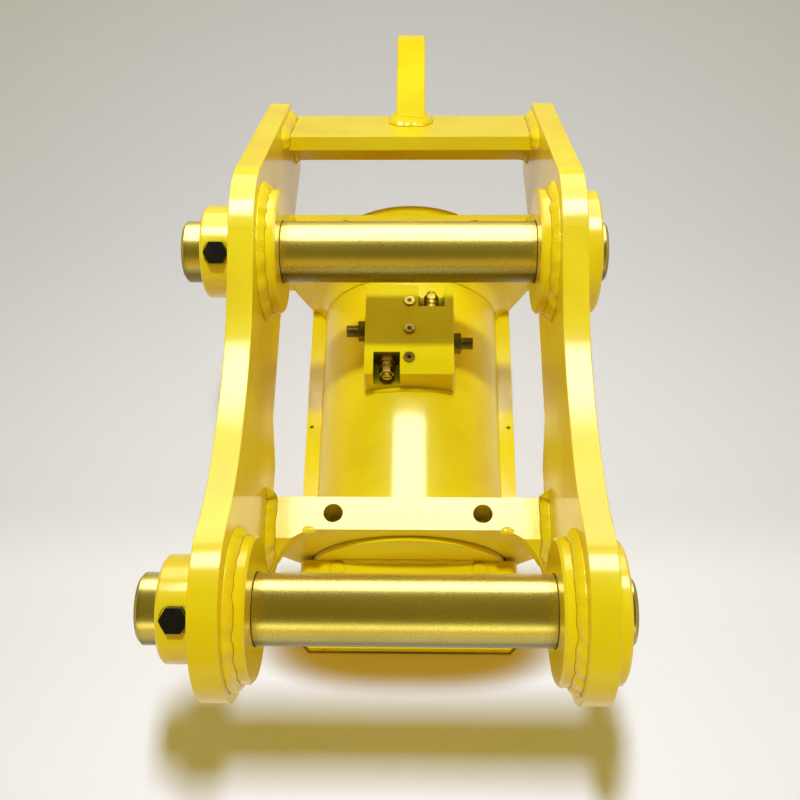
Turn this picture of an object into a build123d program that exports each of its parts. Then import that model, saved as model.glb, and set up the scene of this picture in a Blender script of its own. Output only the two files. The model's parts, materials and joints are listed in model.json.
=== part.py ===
from build123d import *
import math
import os

# Tilting quick coupler for an excavator of 20 to 22 tonnes, all sizes in millimetres.
# X runs along the pins, Y along the tilt axis from the near pin to the lifting eye, Z up.
# The origin lies in the middle of the flat underside of the base.

# Pins that take the excavator's stick and link
pin_dia = 80.0
pin_spacing = 475.0          # between the two pin axes
pin_rise = 340.0             # pin axes above the tilt axis
ear_gap = 330.0              # between the faces of the inner bosses
pin_past_collar = 28.0       # pin end beyond the lock collar, left side
pin_past_boss = 14.0         # pin end beyond the outer boss, right side
pin_chamfer = 4.0

# Side plates
plate_thick = 32.0
plate_edge_round = 1.5
near_lobe_margin = 28.0      # plate round the near pin, beyond the inner boss
far_lobe_margin = 25.0       # the same round the far pin
lobe_shift_y = 8.0           # lobe centres lie this far behind the pin axes
lobe_shift_z = 3.0           # and this far above them
near_lobe_end = 58.0         # where the lobes run into the saddle, degrees from +Y
far_lobe_end = 112.0
near_lobe_mid = 160.0        # a direction within the arc of each lobe
far_lobe_mid = 85.0
saddle_rise = 54.0           # lowest point of the top edge, above the pin axes
saddle_flat = 100.0          # length of the nearly straight part of the saddle
saddle_shift = 5.0           # its middle lies this far behind the middle of the lobes
tail_length = 160.0          # from the rear of the far yoke to the end of the plates
tail_top_drop = 98.0         # end corners below the pin axes
tail_height = 152.0
tail_rise = 0.24             # slope of the tail's lower edge
tail_round = 8.0
leg_margin = 13.0            # side plate beyond each yoke
leg_rise = 50.0              # lower edge of the side plates above the tilt axis
arch_foot_drop = 34.0        # shoulders of the arch below the top of the yokes
arch_crest_rise = 16.0       # crest of the arch above the top of the yokes
arch_crest_length = 200.0
arch_shoulder = 45.0
arch_round = 12.0

# Bosses, lock collars and lock bolts
inner_boss_dia = 162.0
inner_boss_proud = 22.0
outer_boss_dia = 159.0
near_outer_boss_proud = 17.0
far_outer_boss_proud = 23.0
boss_chamfer = 3.0
collar_dia = 120.0
collar_width = 45.0
spot_face_dia = 34.0
spot_face_depth = 2.0
lock_bolt_dia = 18.0
near_bolt_lean = 25.0        # lock bolts lean forward from the vertical, degrees
far_bolt_lean = 35.0

# Tail: tie plate, rear web and lifting eye
tie_recess = 20.0            # tie plate below the sloping edge of the side plates
tie_length = 122.0           # along the slope
tie_thick = 20.0
web_thick = 20.0
web_drop = 182.0             # lower edge of the rear web below the pin axes
web_round = 15.0             # height and radius of the web's feet at the side plates
eye_thick = 44.0
eye_radius = 70.0
eye_hole_dia = 50.0
eye_setback = 101.0          # eye centre behind the end of the side plates
eye_top_drop = 85.0          # flat top of the eye below the pin axes
eye_foot_rise = 10.0         # lower end of the eye above the lower edge of the web
eye_edge_round = 3.0

# Yokes and gussets
yoke_span = 510.0            # over the outer faces of both yokes
near_yoke_thick = 46.0
far_yoke_thick = 68.0
yoke_crown = 30.0            # top face above the crown of the barrel
yoke_foot_drop = 5.0         # feet below the tilt axis
near_foot_past_barrel = 5.0  # feet of the near yoke, outside the barrel
far_yoke_flare = 28.0        # hollow flare between the barrel and the far yoke's front face
yoke_side_lap = 5.0          # yoke hidden by the side plate above the plate's lower edge
near_pin_setback = 150.0     # near pin axis ahead of the near yoke
yoke_hole_spacing = 200.0
yoke_hole_inset = 23.0       # hole axes inside the outer faces of the yokes
yoke_hole_dia = 26.0
yoke_hole_depth = 55.0
gusset_thick = 15.0
gusset_length = 47.0         # how far the gussets run forward of the near yoke
gusset_flat = 12.0           # level part of their top, next to the yoke
gusset_drop = 40.0
gusset_width = 57.0          # how far they reach in from the side plates
gusset_bow = 4.0             # hollow of the free edge
gusset_tip = 4.0

# Barrel of the helical rotary actuator
barrel_dia = 280.0
barrel_wall = 28.0
flange_proud = 23.5          # side flanges of the barrel, beyond its radius
flange_thick = 20.0
flange_drop = 5.0            # their top face below the tilt axis
flange_hole_dia = 6.0
flange_hole_depth = 6.0
flange_hole_inset = 8.0
flange_hole_y = -27.0
gland_length = 36.0
bush_wall = 6.0
bush_inset = 1.0
seal_width = 6.0
gland_seal_depth = 4.0
gland_seal_inset = 6.0

# End discs and shaft
disc_past_barrel = 3.5       # radius of the end discs beyond the barrel's
disc_chamfer = 4.0
near_disc_proud = 7.0        # near disc in front of the yoke
near_disc_thick = 25.0
far_disc_thick = 40.0
shaft_screw_dia = 16.0
shaft_screw_edge = 14.0      # screw axes inside the rim of the shaft
shaft_screw_count = 6
shaft_screw_bite = 25.0
shaft_screw_sink = 10.0      # counterbores in the end discs
spigot_wall = 16.0           # from the screw axes to the spigots at the shaft's ends
spigot_recess = 3.0
core_relief = 2.0            # plain shaft below the roots of its splines
journal_step = 1.0           # far journal above the tips of the splines

# Piston and gears
gear_inset = 18.0            # tips of the piston's teeth inside the bore of the barrel
sleeve_wall = 18.0           # piston wall between its outer teeth and the splines
tooth_count = 12
tooth_height = 7.0
tooth_root_share = 0.6       # tooth width at root and tip, as shares of the pitch
tooth_tip_share = 0.34
gear_length = 60.0
helix_length = 400.0         # travel of the piston for one full turn of the tilt
tilt_limit = 45.0            # degrees each way
mesh_margin = 5.0            # teeth beyond the gear at the end of the stroke
far_room = 34.0              # free length beyond the piston at the end of its stroke
near_room = 25.5
head_length = 40.0
neck_relief = 1.0            # piston neck below the roots of its teeth
piston_seal_depth = 5.0
piston_seal_margin = 9.0

# Valve block on the barrel
block_width = 128.0
block_length = 148.0
block_rise = 44.0            # top face above the crown of the barrel
block_skirt = 20.0           # how far its sides reach below the crown
block_centre_y = 44.0
block_chamfer = 2.0
pocket_width = 38.0
pocket_length = 36.0
pocket_depth = 36.0
pocket_inset = 13.0          # from the middle of the block to the pockets
pocket_round = 9.0           # along both sides of the pocket's floor
cartridge_flange_dia = 24.0
cartridge_flange_height = 9.0
cartridge_groove_dia = 18.0
cartridge_groove_width = 2.0
cartridge_collar_dia = 21.0
cartridge_collar_height = 6.0
cartridge_hex = 19.0
cartridge_hex_height = 8.0
cartridge_tip_dia = 15.0
cartridge_tip_height = 5.0
cartridge_slot_width = 3.0
cartridge_slot_depth = 3.0
cartridge_edge = 1.0
cartridge_thread_dia = 12.0
cartridge_thread_length = 14.0
cartridge_hole_depth = 18.0
block_screw_dia = 10.0
block_screw_head_dia = 15.6
block_screw_head_height = 3.0
block_screw_length = 12.0
screw_pitch = 47.0
fitting_size = 26.0          # across the flats of the hose fittings
fitting_nut_height = 11.0
fitting_tube_dia = 17.0
fitting_tube_length = 28.0
fitting_bore_dia = 10.0
fitting_bore_depth = 22.0
left_fitting_shift = 8.0     # fittings lie this far from the middle of the block
right_fitting_shift = -12.0

# Base that carries the attachment
disc_floor_gap = 3.5         # end discs above the base plate
end_plate_past_disc = 11.5
end_plate_thick = 25.0
end_plate_rise = 54.0        # top edge above the tilt axis
end_plate_round = 14.0
base_past_end_plate = 57.0   # base plate beyond the end plates
base_past_sides = 18.0
base_plate_thick = 22.0
base_clip = 14.0
base_hole_dia = 22.0
base_hole_spacing_x = 260.0
base_hole_inset = 45.0       # hole rows inside the outer faces of the yokes
edge_hole_dia = 6.0          # tapped holes in the front edge
edge_hole_inset = 38.0
edge_hole_depth = 14.0
pad_thick = 6.0
pad_width = 70.0
pad_length = 181.0
pad_inset = 5.0              # pads inside the long edges of the base
pad_setback = 1.0            # and behind its front and rear edges
pad_clip = 10.0
side_bar_width = 23.0
side_bar_height = 17.0
side_bar_chamfer = 3.0
rib_thick = 16.0
rib_height = 70.0
rib_tip = 8.0
rib_inset = 10.0
flange_bolt_dia = 20.0
flange_bolt_inset = 48.5     # bolt axes inside the rim of the end discs
flange_bolt_count = 7
flange_bolt_spread = 210.0   # degrees from the first bolt to the last
flange_bolt_bite = 19.0

# Proportions of bolts and screws, as shares of their diameter
hex_share = 1.5              # across the flats
tip_share = 0.1              # bolt end beyond its nut
bolt_head_share = 0.63       # height of a hexagon head
nut_share = 0.8              # height of a nut
socket_head_share = 1.5      # diameter of a socket head
socket_share = 0.8           # across the flats of its socket
thin_socket_share = 0.6      # the same in a low head
socket_height_share = 0.56

# Fits and running clearances
press_gap = 0.05             # round faces that are pressed or welded together
pin_gap = 0.1
bush_gap = 0.05
seal_gap = 0.2               # end play of a seal in its groove
running_gap = 0.3
face_gap = 0.5
disc_gap = 2.0               # visible seam round the near end disc
tooth_gap = 0.6
bolt_gap = 0.5
cut_past = 1.0               # cutting shapes run this far past what they cut
pick_margin = 1.0            # corners are picked for rounding within this distance

# Radii worked out from the outside of the barrel inwards
barrel_r = barrel_dia / 2
disc_r = barrel_r + disc_past_barrel
bore_r = barrel_r - barrel_wall
gear_r = bore_r - gear_inset
spline_r = gear_r - tooth_height - sleeve_wall
core_r = spline_r - tooth_height - core_relief
far_journal_r = spline_r + journal_step
shaft_screw_r = core_r - shaft_screw_edge
spigot_r = shaft_screw_r - spigot_wall
flange_bolt_r = disc_r - flange_bolt_inset

# Heights
base_top = pad_thick + base_plate_thick
axis_height = base_top + disc_floor_gap + disc_r
crown = axis_height + barrel_r
pin_height = axis_height + pin_rise
yoke_top = crown + yoke_crown
leg_low = axis_height + leg_rise
block_top = crown + block_rise
web_low = pin_height - web_drop
eye_top = pin_height - eye_top_drop

# Widths
plate_in = ear_gap / 2 + inner_boss_proud
plate_out = plate_in + plate_thick
collar_mid_x = -plate_out - collar_width / 2
flange_half = barrel_r + flange_proud
end_plate_half = disc_r + end_plate_past_disc
base_half = end_plate_half + base_past_sides

# Places along the tilt axis
yoke_out = yoke_span / 2
near_yoke_in = yoke_out - near_yoke_thick
far_yoke_in = yoke_out - far_yoke_thick
near_y = -yoke_out - near_pin_setback
far_y = near_y + pin_spacing
tail_y = yoke_out + tail_length
near_disc_front = -yoke_out - near_disc_proud
near_disc_back = near_disc_front + near_disc_thick
barrel_near = near_disc_back + face_gap
barrel_far = yoke_out
far_disc_front = barrel_far + face_gap
far_disc_back = far_disc_front + far_disc_thick
near_plate_front = near_disc_front - end_plate_thick
far_plate_back = far_disc_back + end_plate_thick
base_front = near_plate_front - base_past_end_plate
base_back = far_plate_back + base_past_end_plate
block_front = block_centre_y - block_length / 2
block_back = block_front + block_length

# Piston and fixed gear, placed from the glands at both ends
half_stroke = helix_length * tilt_limit / 360
teeth_far = barrel_far - gland_length - far_room - half_stroke
ring_far = teeth_far - half_stroke - mesh_margin
ring_near = ring_far - gear_length
teeth_near = ring_near - half_stroke - mesh_margin
head_near = barrel_near + gland_length + near_room + half_stroke
head_far = head_near + head_length

# Circles of the two lobes of a side plate, in Y and Z
near_lobe = (near_y + lobe_shift_y, pin_height + lobe_shift_z)
far_lobe = (far_y + lobe_shift_y, pin_height + lobe_shift_z)
near_lobe_r = inner_boss_dia / 2 + near_lobe_margin
far_lobe_r = inner_boss_dia / 2 + far_lobe_margin
tail_top = (tail_y, pin_height - tail_top_drop)


def rod_x(radius, x0, x1, y, z):
    """Cylinder along X."""
    return Pos((x0 + x1) / 2, y, z) * Rot(0, 90, 0) * Cylinder(radius, abs(x1 - x0))


def rod_y(radius, y0, y1, x=0.0, z=axis_height):
    """Cylinder along Y, on the tilt axis unless a place is given."""
    return Pos(x, (y0 + y1) / 2, z) * Rot(90, 0, 0) * Cylinder(radius, abs(y1 - y0))


def ring_x(outer, inner, x0, x1, y, z):
    return rod_x(outer, x0, x1, y, z) - rod_x(inner, x0 - cut_past, x1 + cut_past, y, z)


def ring_y(outer, inner, y0, y1):
    return rod_y(outer, y0, y1) - rod_y(inner, y0 - cut_past, y1 + cut_past)


def block(x0, x1, y0, y1, z0, z1):
    return Pos((x0 + x1) / 2, (y0 + y1) / 2, (z0 + z1) / 2) * Box(x1 - x0, y1 - y0, z1 - z0)


def slab_x(points_yz, x0, x1):
    """Polygon drawn in Y and Z, extruded from x0 to x1."""
    face = Plane.YZ.offset(x0) * make_face(Polyline(*points_yz, close=True))
    return extrude(face, amount=x1 - x0, dir=(1, 0, 0))


def slab_y(face_xz, y0, y1):
    """Face drawn in X and Z, extruded from y0 to y1."""
    return extrude(Plane.XZ.offset(-y0) * face_xz, amount=y1 - y0, dir=(0, 1, 0))


def mirrored(part):
    return part.mirror(Plane.YZ)


def group(solids):
    return Compound(children=[Part() + s for s in solids])


def on_circle(centre, radius, degrees):
    a = math.radians(degrees)
    return (centre[0] + radius * math.cos(a), centre[1] + radius * math.sin(a))


def tangent_point(centre, radius, point, side):
    """Where the line from an outside point touches a circle, on the chosen side."""
    dy, dz = point[0] - centre[0], point[1] - centre[1]
    turn = side * math.acos(radius / math.hypot(dy, dz))
    return on_circle(centre, radius, math.degrees(math.atan2(dz, dy) + turn))


def hexagon(across_flats, height):
    return extrude(RegularPolygon(across_flats / 2, 6, major_radius=False), amount=height)


def outer_rim(part, axis, last):
    """Largest circle at one end of a round part, for its chamfer."""
    rims = part.edges().filter_by(GeomType.CIRCLE).sort_by(axis)
    return (rims[-2:] if last else rims[:2]).sort_by(SortBy.RADIUS)[-1:]


def saddle_curve():
    """Hollow part of the top edge between the two lobes."""
    start = on_circle(near_lobe, near_lobe_r, near_lobe_end)
    end = on_circle(far_lobe, far_lobe_r, far_lobe_end)
    mid_y = (start[0] + end[0]) / 2 + saddle_shift
    low = pin_height + saddle_rise
    leave = math.radians(near_lobe_end)
    arrive = math.radians(far_lobe_end)
    return Spline(
        start, (mid_y - saddle_flat / 2, low), (mid_y + saddle_flat / 2, low), end,
        tangents=((math.sin(leave), -math.cos(leave)), (math.sin(arrive), -math.cos(arrive))),
    )


def side_plate_face():
    """Outline of a side plate in Y and Z: two lobes, a saddle, a tail and two legs."""
    saddle = saddle_curve()
    leg_far = yoke_out + leg_margin
    leg_mid = near_yoke_in - leg_margin
    tail_low = tail_top[1] - tail_height
    tail_root = tail_low + tail_rise * (tail_y - leg_far)
    arch_low = yoke_top - arch_foot_drop
    arch_top = yoke_top + arch_crest_rise
    crest = arch_crest_length / 2
    slope_touch = tangent_point(far_lobe, far_lobe_r, tail_top, 1)
    heel_touch = tangent_point(near_lobe, near_lobe_r, (-leg_far, leg_low), -1)
    far_bulge = on_circle(far_lobe, far_lobe_r, far_lobe_mid)
    near_bulge = on_circle(near_lobe, near_lobe_r, near_lobe_mid)
    far_arc = ThreePointArc(saddle @ 1, far_bulge, slope_touch)
    near_arc = ThreePointArc(heel_touch, near_bulge, saddle @ 0)
    lower = Polyline(
        slope_touch, tail_top, (tail_y, tail_low), (leg_far, tail_root), (leg_far, leg_low),
        (far_yoke_in, leg_low), (far_yoke_in, arch_low), (far_yoke_in - arch_shoulder, arch_low),
        (crest, arch_top), (-crest, arch_top), (arch_shoulder - leg_mid, arch_low), (-leg_mid, arch_low),
        (-leg_mid, leg_low), (-leg_far, leg_low), heel_touch,
    )
    face = make_face([*saddle.edges(), *far_arc.edges(), *lower.edges(), *near_arc.edges()])
    reach = leg_far + pick_margin
    inner = [v for v in face.vertices() if v.Y < arch_top + pick_margin and abs(v.X) < reach]
    face = fillet(inner, arch_round)
    return fillet([v for v in face.vertices() if v.X > tail_y - pick_margin], tail_round)


def side_plate(left):
    """One side plate with rounded outer edges, bored for both pins."""
    part = extrude(Plane.YZ.offset(plate_in) * side_plate_face(), amount=plate_thick, dir=(1, 0, 0))
    part = fillet(part.faces().sort_by(Axis.X)[-1].edges(), plate_edge_round)
    part = fillet(part.faces().sort_by(Axis.X)[0].edges(), plate_edge_round)
    for y in (near_y, far_y):
        part -= rod_x(pin_dia / 2 + pin_gap, plate_in - cut_past, plate_out + cut_past, y, pin_height)
    return mirrored(part) if left else part


def yoke_outline(foot_x):
    """Front outline of a yoke that straddles the upper half of the barrel."""
    corner = (plate_in, leg_low + yoke_side_lap)
    half = [(plate_in, yoke_top), corner, (foot_x, axis_height - yoke_foot_drop)]
    points = half + [(-x, z) for x, z in reversed(half)]
    return make_face(Polyline(*points, close=True))


def yoke_flare(foot_x):
    """Hollow flare round the barrel, in front of the far yoke."""
    r, size = barrel_r, far_yoke_flare
    corner, rim, toe = (r, far_yoke_in), (r + size, far_yoke_in), (r, far_yoke_in - size)
    edges = [*RadiusArc(rim, toe, -size).edges(), *Polyline(toe, corner, rim).edges()]
    ring = Pos(0, 0, axis_height) * revolve(make_face(edges), Axis.Y, 360)
    return ring & slab_y(yoke_outline(foot_x), far_yoke_in - size, far_yoke_in)


def yoke(near):
    """Thick yoke with two blind bolt holes from the top; the near one is sunk for the end disc."""
    foot_x = barrel_r + near_foot_past_barrel if near else flange_half
    y0, y1 = (-yoke_out, -near_yoke_in) if near else (far_yoke_in, yoke_out)
    part = slab_y(yoke_outline(foot_x), y0, y1)
    if not near:
        part += yoke_flare(foot_x)
    part -= rod_y(barrel_r + press_gap, y0 - 2 * far_yoke_flare, y1 + cut_past)
    hole_y = (yoke_out - yoke_hole_inset) * (-1 if near else 1)
    for x in (-yoke_hole_spacing / 2, yoke_hole_spacing / 2):
        place = Pos(x, hole_y, yoke_top - yoke_hole_depth / 2)
        part -= place * Cylinder(yoke_hole_dia / 2, yoke_hole_depth)
    if near:
        part -= rod_y(disc_r + disc_gap, y0 - cut_past, barrel_near)
    return part


def gusset():
    """Small bent plate between the near yoke and a side plate, with a hollow inner edge."""
    back, front = -yoke_out, -yoke_out - gusset_length
    bend = back - gusset_flat
    low = yoke_top - gusset_drop
    section = [
        (back, yoke_top), (bend, yoke_top), (front, low), (front + gusset_thick, low - gusset_tip),
        (bend + gusset_thick / 2, yoke_top - gusset_thick), (back, yoke_top - gusset_thick),
    ]
    inner = plate_in - gusset_width
    tip = plate_in - gusset_tip
    part = slab_x(section, inner, plate_in)
    mid = ((inner + plate_in) / 2 + gusset_bow, (back + front) / 2 + gusset_bow)
    edge = ThreePointArc((inner, back), mid, (tip, front))
    far_x, far_end = inner - gusset_bow, front - gusset_bow
    frame = Polyline((tip, front), (tip, far_end), (far_x, far_end), (far_x, back), (inner, back))
    cutter = make_face([*edge.edges(), *frame.edges()])
    return part - extrude(Pos(0, 0, low - gusset_drop) * cutter, amount=3 * gusset_drop)


def slope_frame():
    """Rear end of the tie plate's top face, and the slope's directions along and down, in Y and Z."""
    touch = tangent_point(far_lobe, far_lobe_r, tail_top, 1)
    run = math.hypot(tail_top[0] - touch[0], tail_top[1] - touch[1])
    along = ((tail_top[0] - touch[0]) / run, (tail_top[1] - touch[1]) / run)
    down = (along[1], -along[0])
    return (tail_top[0] + tie_recess * down[0], tail_top[1] + tie_recess * down[1]), along, down


def tie_plate():
    """Cross plate that lies parallel to the sloping edges of the side plates."""
    end, along, down = slope_frame()
    start = (end[0] - tie_length * along[0], end[1] - tie_length * along[1])
    under = [(p[0] + tie_thick * down[0], p[1] + tie_thick * down[1]) for p in (end, start)]
    return slab_x([start, end, *under], -plate_in, plate_in)


def web_back():
    """Rear face of the web, under the lower rear corner of the tie plate."""
    end, along, down = slope_frame()
    return end[0] + tie_thick * down[0]


def tie_underside(y):
    """Height of the tie plate's lower face at a given Y."""
    end, along, down = slope_frame()
    return end[1] + tie_thick * down[1] + (y - web_back()) * along[1] / along[0]


def rear_web():
    """Upright web under the rear edge of the tie plate, with rounded feet at the side plates."""
    y1 = web_back()
    y0 = y1 - web_thick
    under = web_low - web_round
    points = [(y0, under), (y1, under), (y1, tie_underside(y1)), (y0, tie_underside(y0))]
    part = slab_x(points, -plate_in, plate_in)
    window = Pos(0, web_low - 2 * web_round) * RectangleRounded(2 * plate_in, 4 * web_round, web_round)
    return part - slab_y(window, y0 - cut_past, y1 + cut_past)


def lifting_eye():
    """Lifting eye with rounded edges, on the tie plate and the rear web."""
    centre = (tail_y + eye_setback, eye_top - eye_radius)
    end, along, down = slope_frame()
    front_y = end[0] + (eye_top - end[1]) * along[0] / along[1]
    foot = (web_back(), web_low + eye_foot_rise)
    touch = tangent_point(centre, eye_radius, foot, 1)
    line = Polyline((front_y, eye_top), (centre[0], eye_top))
    nose = ThreePointArc((centre[0], eye_top), on_circle(centre, eye_radius, 0), touch)
    rest = Polyline(touch, foot, (web_back(), tie_underside(web_back())), end, (front_y, eye_top))
    face = make_face([*line.edges(), *nose.edges(), *rest.edges()])
    part = extrude(Plane.YZ.offset(-eye_thick / 2) * face, amount=eye_thick, dir=(1, 0, 0))
    sides = part.faces().sort_by(Axis.X)
    free = [e for f in (sides[0], sides[-1]) for e in f.edges() if e.center().Y > tail_y]
    part = fillet(free, eye_edge_round)
    return part - rod_x(eye_hole_dia / 2, -eye_thick, eye_thick, *centre)


def inner_bosses(y):
    """Two wear bosses inside the side plates, round one pin."""
    part = ring_x(inner_boss_dia / 2, pin_dia / 2 + pin_gap, ear_gap / 2, plate_in, y, pin_height)
    part = chamfer(outer_rim(part, Axis.X, False), boss_chamfer)
    return group([part, mirrored(part)])


def outer_boss(y, proud):
    x1 = plate_out + proud
    part = ring_x(outer_boss_dia / 2, pin_dia / 2 + pin_gap, plate_out, x1, y, pin_height)
    return chamfer(outer_rim(part, Axis.X, True), boss_chamfer)


def bolt_frame(y, lean):
    """Where a lock bolt crosses its pin axis; local Z runs out along the bolt to its head."""
    return Pos(collar_mid_x, y, pin_height) * Rot(lean, 0, 0)


def lock_collar(y, lean):
    """Collar welded outside the left side plate, drilled and spot-faced for the lock bolt."""
    r = collar_dia / 2
    part = ring_x(r, pin_dia / 2 + pin_gap, -plate_out - collar_width, -plate_out, y, pin_height)
    part = chamfer(outer_rim(part, Axis.X, False), boss_chamfer)
    frame = bolt_frame(y, lean)
    part -= frame * Cylinder(lock_bolt_dia / 2 + bolt_gap, 2 * collar_dia)
    for side in (1, -1):
        middle = side * (1.5 * r - spot_face_depth)
        part -= frame * Pos(0, 0, middle) * Cylinder(spot_face_dia / 2, r)
    return part


def pin(y, lean, boss_proud):
    """Plain pin with chamfered ends and a cross hole for its lock bolt."""
    x0 = -plate_out - collar_width - pin_past_collar
    x1 = plate_out + boss_proud + pin_past_boss
    part = rod_x(pin_dia / 2, x0, x1, y, pin_height)
    part = chamfer(part.edges().filter_by(GeomType.CIRCLE), pin_chamfer)
    return part - bolt_frame(y, lean) * Cylinder(lock_bolt_dia / 2 + bolt_gap, 2 * pin_dia)


def lock_bolt(y, lean):
    """Hexagon bolt through collar and pin."""
    seat = collar_dia / 2 - spot_face_depth
    tip = -seat - lock_bolt_dia * (nut_share + tip_share)
    head = Pos(0, 0, seat) * hexagon(lock_bolt_dia * hex_share, lock_bolt_dia * bolt_head_share)
    shank = Pos(0, 0, (seat + tip) / 2) * Cylinder(lock_bolt_dia / 2, seat - tip)
    return bolt_frame(y, lean) * (head + shank)


def lock_nut(y, lean):
    """Nut at the lower end of a lock bolt."""
    seat = collar_dia / 2 - spot_face_depth
    height = lock_bolt_dia * nut_share
    nut = Pos(0, 0, -seat - height) * hexagon(lock_bolt_dia * hex_share, height)
    return bolt_frame(y, lean) * (nut - Cylinder(lock_bolt_dia / 2 + press_gap, 2 * collar_dia))


def barrel():
    """Barrel of the actuator: a thick tube with a flange along each side."""
    part = rod_y(barrel_r, barrel_near, barrel_far)
    top = axis_height - flange_drop
    for side in (1, -1):
        x0, x1 = sorted((side * (barrel_r - barrel_wall / 2), side * flange_half))
        part += block(x0, x1, -near_yoke_in, far_yoke_in, top - flange_thick, top)
        hole = Cylinder(flange_hole_dia / 2, 2 * flange_hole_depth)
        part -= Pos(side * (flange_half - flange_hole_inset), flange_hole_y, top) * hole
    return part - rod_y(bore_r, barrel_near - cut_past, barrel_far + cut_past)


def toothed_bar(tip_r, root_r, length, turn):
    """Toothed bar from Z 0 upwards whose teeth turn by the given angle over its length."""
    step = 360 / tooth_count
    root, tip = tooth_root_share / 2, tooth_tip_share / 2
    points = []
    for i in range(tooth_count):
        for radius, share in ((root_r, -root), (tip_r, -tip), (tip_r, tip), (root_r, root)):
            points.append(on_circle((0, 0), radius, (i + share) * step))
    face = make_face(Polyline(*points, close=True)).face()
    if turn == 0:
        return extrude(face, amount=length)
    return Solid.extrude_linear_with_rotation(face, (0, 0, 0), (0, 0, length), turn)


def along_axis(part, y0):
    """Puts a part drawn from Z 0 upwards on the tilt axis, starting at y0 and running to +Y."""
    return Pos(0, y0, axis_height) * Rot(-90, 0, 0) * part


def helix_turn(length):
    """How far the helical teeth turn over a length, in degrees."""
    return 360 * length / helix_length


def ring_gear():
    """Fixed gear in the barrel, cut inside with helical teeth."""
    start = ring_near - cut_past
    length = gear_length + 2 * cut_past
    cut = toothed_bar(gear_r + tooth_gap, gear_r - tooth_height + tooth_gap, length, helix_turn(length))
    turned = Rot(0, 0, helix_turn(start - teeth_near)) * cut
    return rod_y(bore_r - press_gap, ring_near, ring_far) - along_axis(turned, start)


def piston_groove_places():
    return [head_near + piston_seal_margin, head_far - piston_seal_margin - seal_width]


def piston_sleeve():
    """Piston with a sealing head, helical teeth outside and straight splines inside."""
    head_r = bore_r - running_gap
    part = rod_y(head_r, head_near, head_far)
    for y in piston_groove_places():
        part -= ring_y(head_r + cut_past, head_r - piston_seal_depth, y, y + seal_width)
    part += rod_y(gear_r - tooth_height - neck_relief, head_far, teeth_near)
    length = teeth_far - teeth_near
    teeth = toothed_bar(gear_r, gear_r - tooth_height, length, helix_turn(length))
    part += along_axis(teeth, teeth_near)
    spline_near = teeth_far - gear_length
    part -= rod_y(core_r + running_gap, head_near - cut_past, head_far)
    part -= rod_y(spline_r + 2 * tooth_gap, head_far, spline_near)
    spline = toothed_bar(spline_r + tooth_gap, spline_r - tooth_height + tooth_gap,
                         gear_length + 2 * cut_past, 0)
    return part - along_axis(spline, spline_near - cut_past)


def seal_ring(outer, inner, y0):
    """Seal with a little end play in a groove that starts at y0."""
    return ring_y(outer, inner, y0 + seal_gap, y0 + seal_width - seal_gap)


def piston_seals():
    head_r = bore_r - running_gap
    inner = head_r - piston_seal_depth + press_gap
    return group([seal_ring(head_r - press_gap, inner, y) for y in piston_groove_places()])


def screw_places():
    """Screws of the end discs, evenly spread round the shaft, in X and Z."""
    return [on_circle((0, axis_height), shaft_screw_r, 90 + i * 360 / shaft_screw_count)
            for i in range(shaft_screw_count)]


def shaft():
    """Shaft with a plain near end for the piston to slide over, splines and a far journal."""
    part = rod_y(core_r, near_disc_back, far_disc_front)
    part += rod_y(spigot_r, near_disc_front + spigot_recess, far_disc_back - spigot_recess)
    part += rod_y(far_journal_r, barrel_far - gland_length, far_disc_front)
    y0 = teeth_far - gear_length - half_stroke - mesh_margin
    y1 = teeth_far + half_stroke + mesh_margin
    part += along_axis(toothed_bar(spline_r, spline_r - tooth_height, y1 - y0, 0), y0)
    hole_r = shaft_screw_dia / 2 + press_gap
    depth = shaft_screw_bite + mesh_margin
    for x, z in screw_places():
        part -= rod_y(hole_r, near_disc_back - cut_past, near_disc_back + depth, x, z)
        part -= rod_y(hole_r, far_disc_front - depth, far_disc_front + cut_past, x, z)
    return part


def shaft_screws(near):
    """Socket screws that clamp an end disc to the end of the shaft."""
    out = -1 if near else 1
    seat = near_disc_front + shaft_screw_sink if near else far_disc_back - shaft_screw_sink
    tip = near_disc_back + shaft_screw_bite if near else far_disc_front - shaft_screw_bite
    head = shaft_screw_dia * socket_height_share
    screws = []
    for x, z in screw_places():
        body = rod_y(shaft_screw_dia / 2, min(seat, tip), max(seat, tip), x, z)
        body += rod_y(shaft_screw_dia * socket_head_share / 2, *sorted((seat, seat + out * head)), x, z)
        turn = Rot(-90 * out, 0, 0)
        socket = Pos(x, seat + out * head / 4, z) * turn * hexagon(shaft_screw_dia * socket_share, head)
        screws.append(body - socket)
    return group(screws)


def journal_r(near):
    return core_r if near else far_journal_r


def gland_start(near):
    return barrel_near if near else barrel_far - gland_length


def gland_groove(near):
    """Start of the seal groove round a gland, towards the inside of the barrel."""
    if near:
        return barrel_near + gland_length - gland_seal_inset - seal_width
    return barrel_far - gland_length + gland_seal_inset


def gland(near):
    """Gland that closes the barrel and holds the shaft bush."""
    y0 = gland_start(near)
    part = ring_y(bore_r - press_gap, journal_r(near) + bush_wall, y0, y0 + gland_length)
    groove = gland_groove(near)
    return part - ring_y(bore_r + cut_past, bore_r - gland_seal_depth, groove, groove + seal_width)


def gland_seal(near):
    inner = bore_r - gland_seal_depth + press_gap
    return seal_ring(bore_r - press_gap, inner, gland_groove(near))


def shaft_bush(near):
    y0 = gland_start(near) + bush_inset
    y1 = gland_start(near) + gland_length - bush_inset
    return ring_y(journal_r(near) + bush_wall - press_gap, journal_r(near) + bush_gap, y0, y1)


def bolt_places():
    """Flange bolts, evenly spread round the lower part of the end discs, in X and Z."""
    step = flange_bolt_spread / (flange_bolt_count - 1)
    start = -90 - flange_bolt_spread / 2
    return [on_circle((0, axis_height), flange_bolt_r, start + i * step)
            for i in range(flange_bolt_count)]


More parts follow.
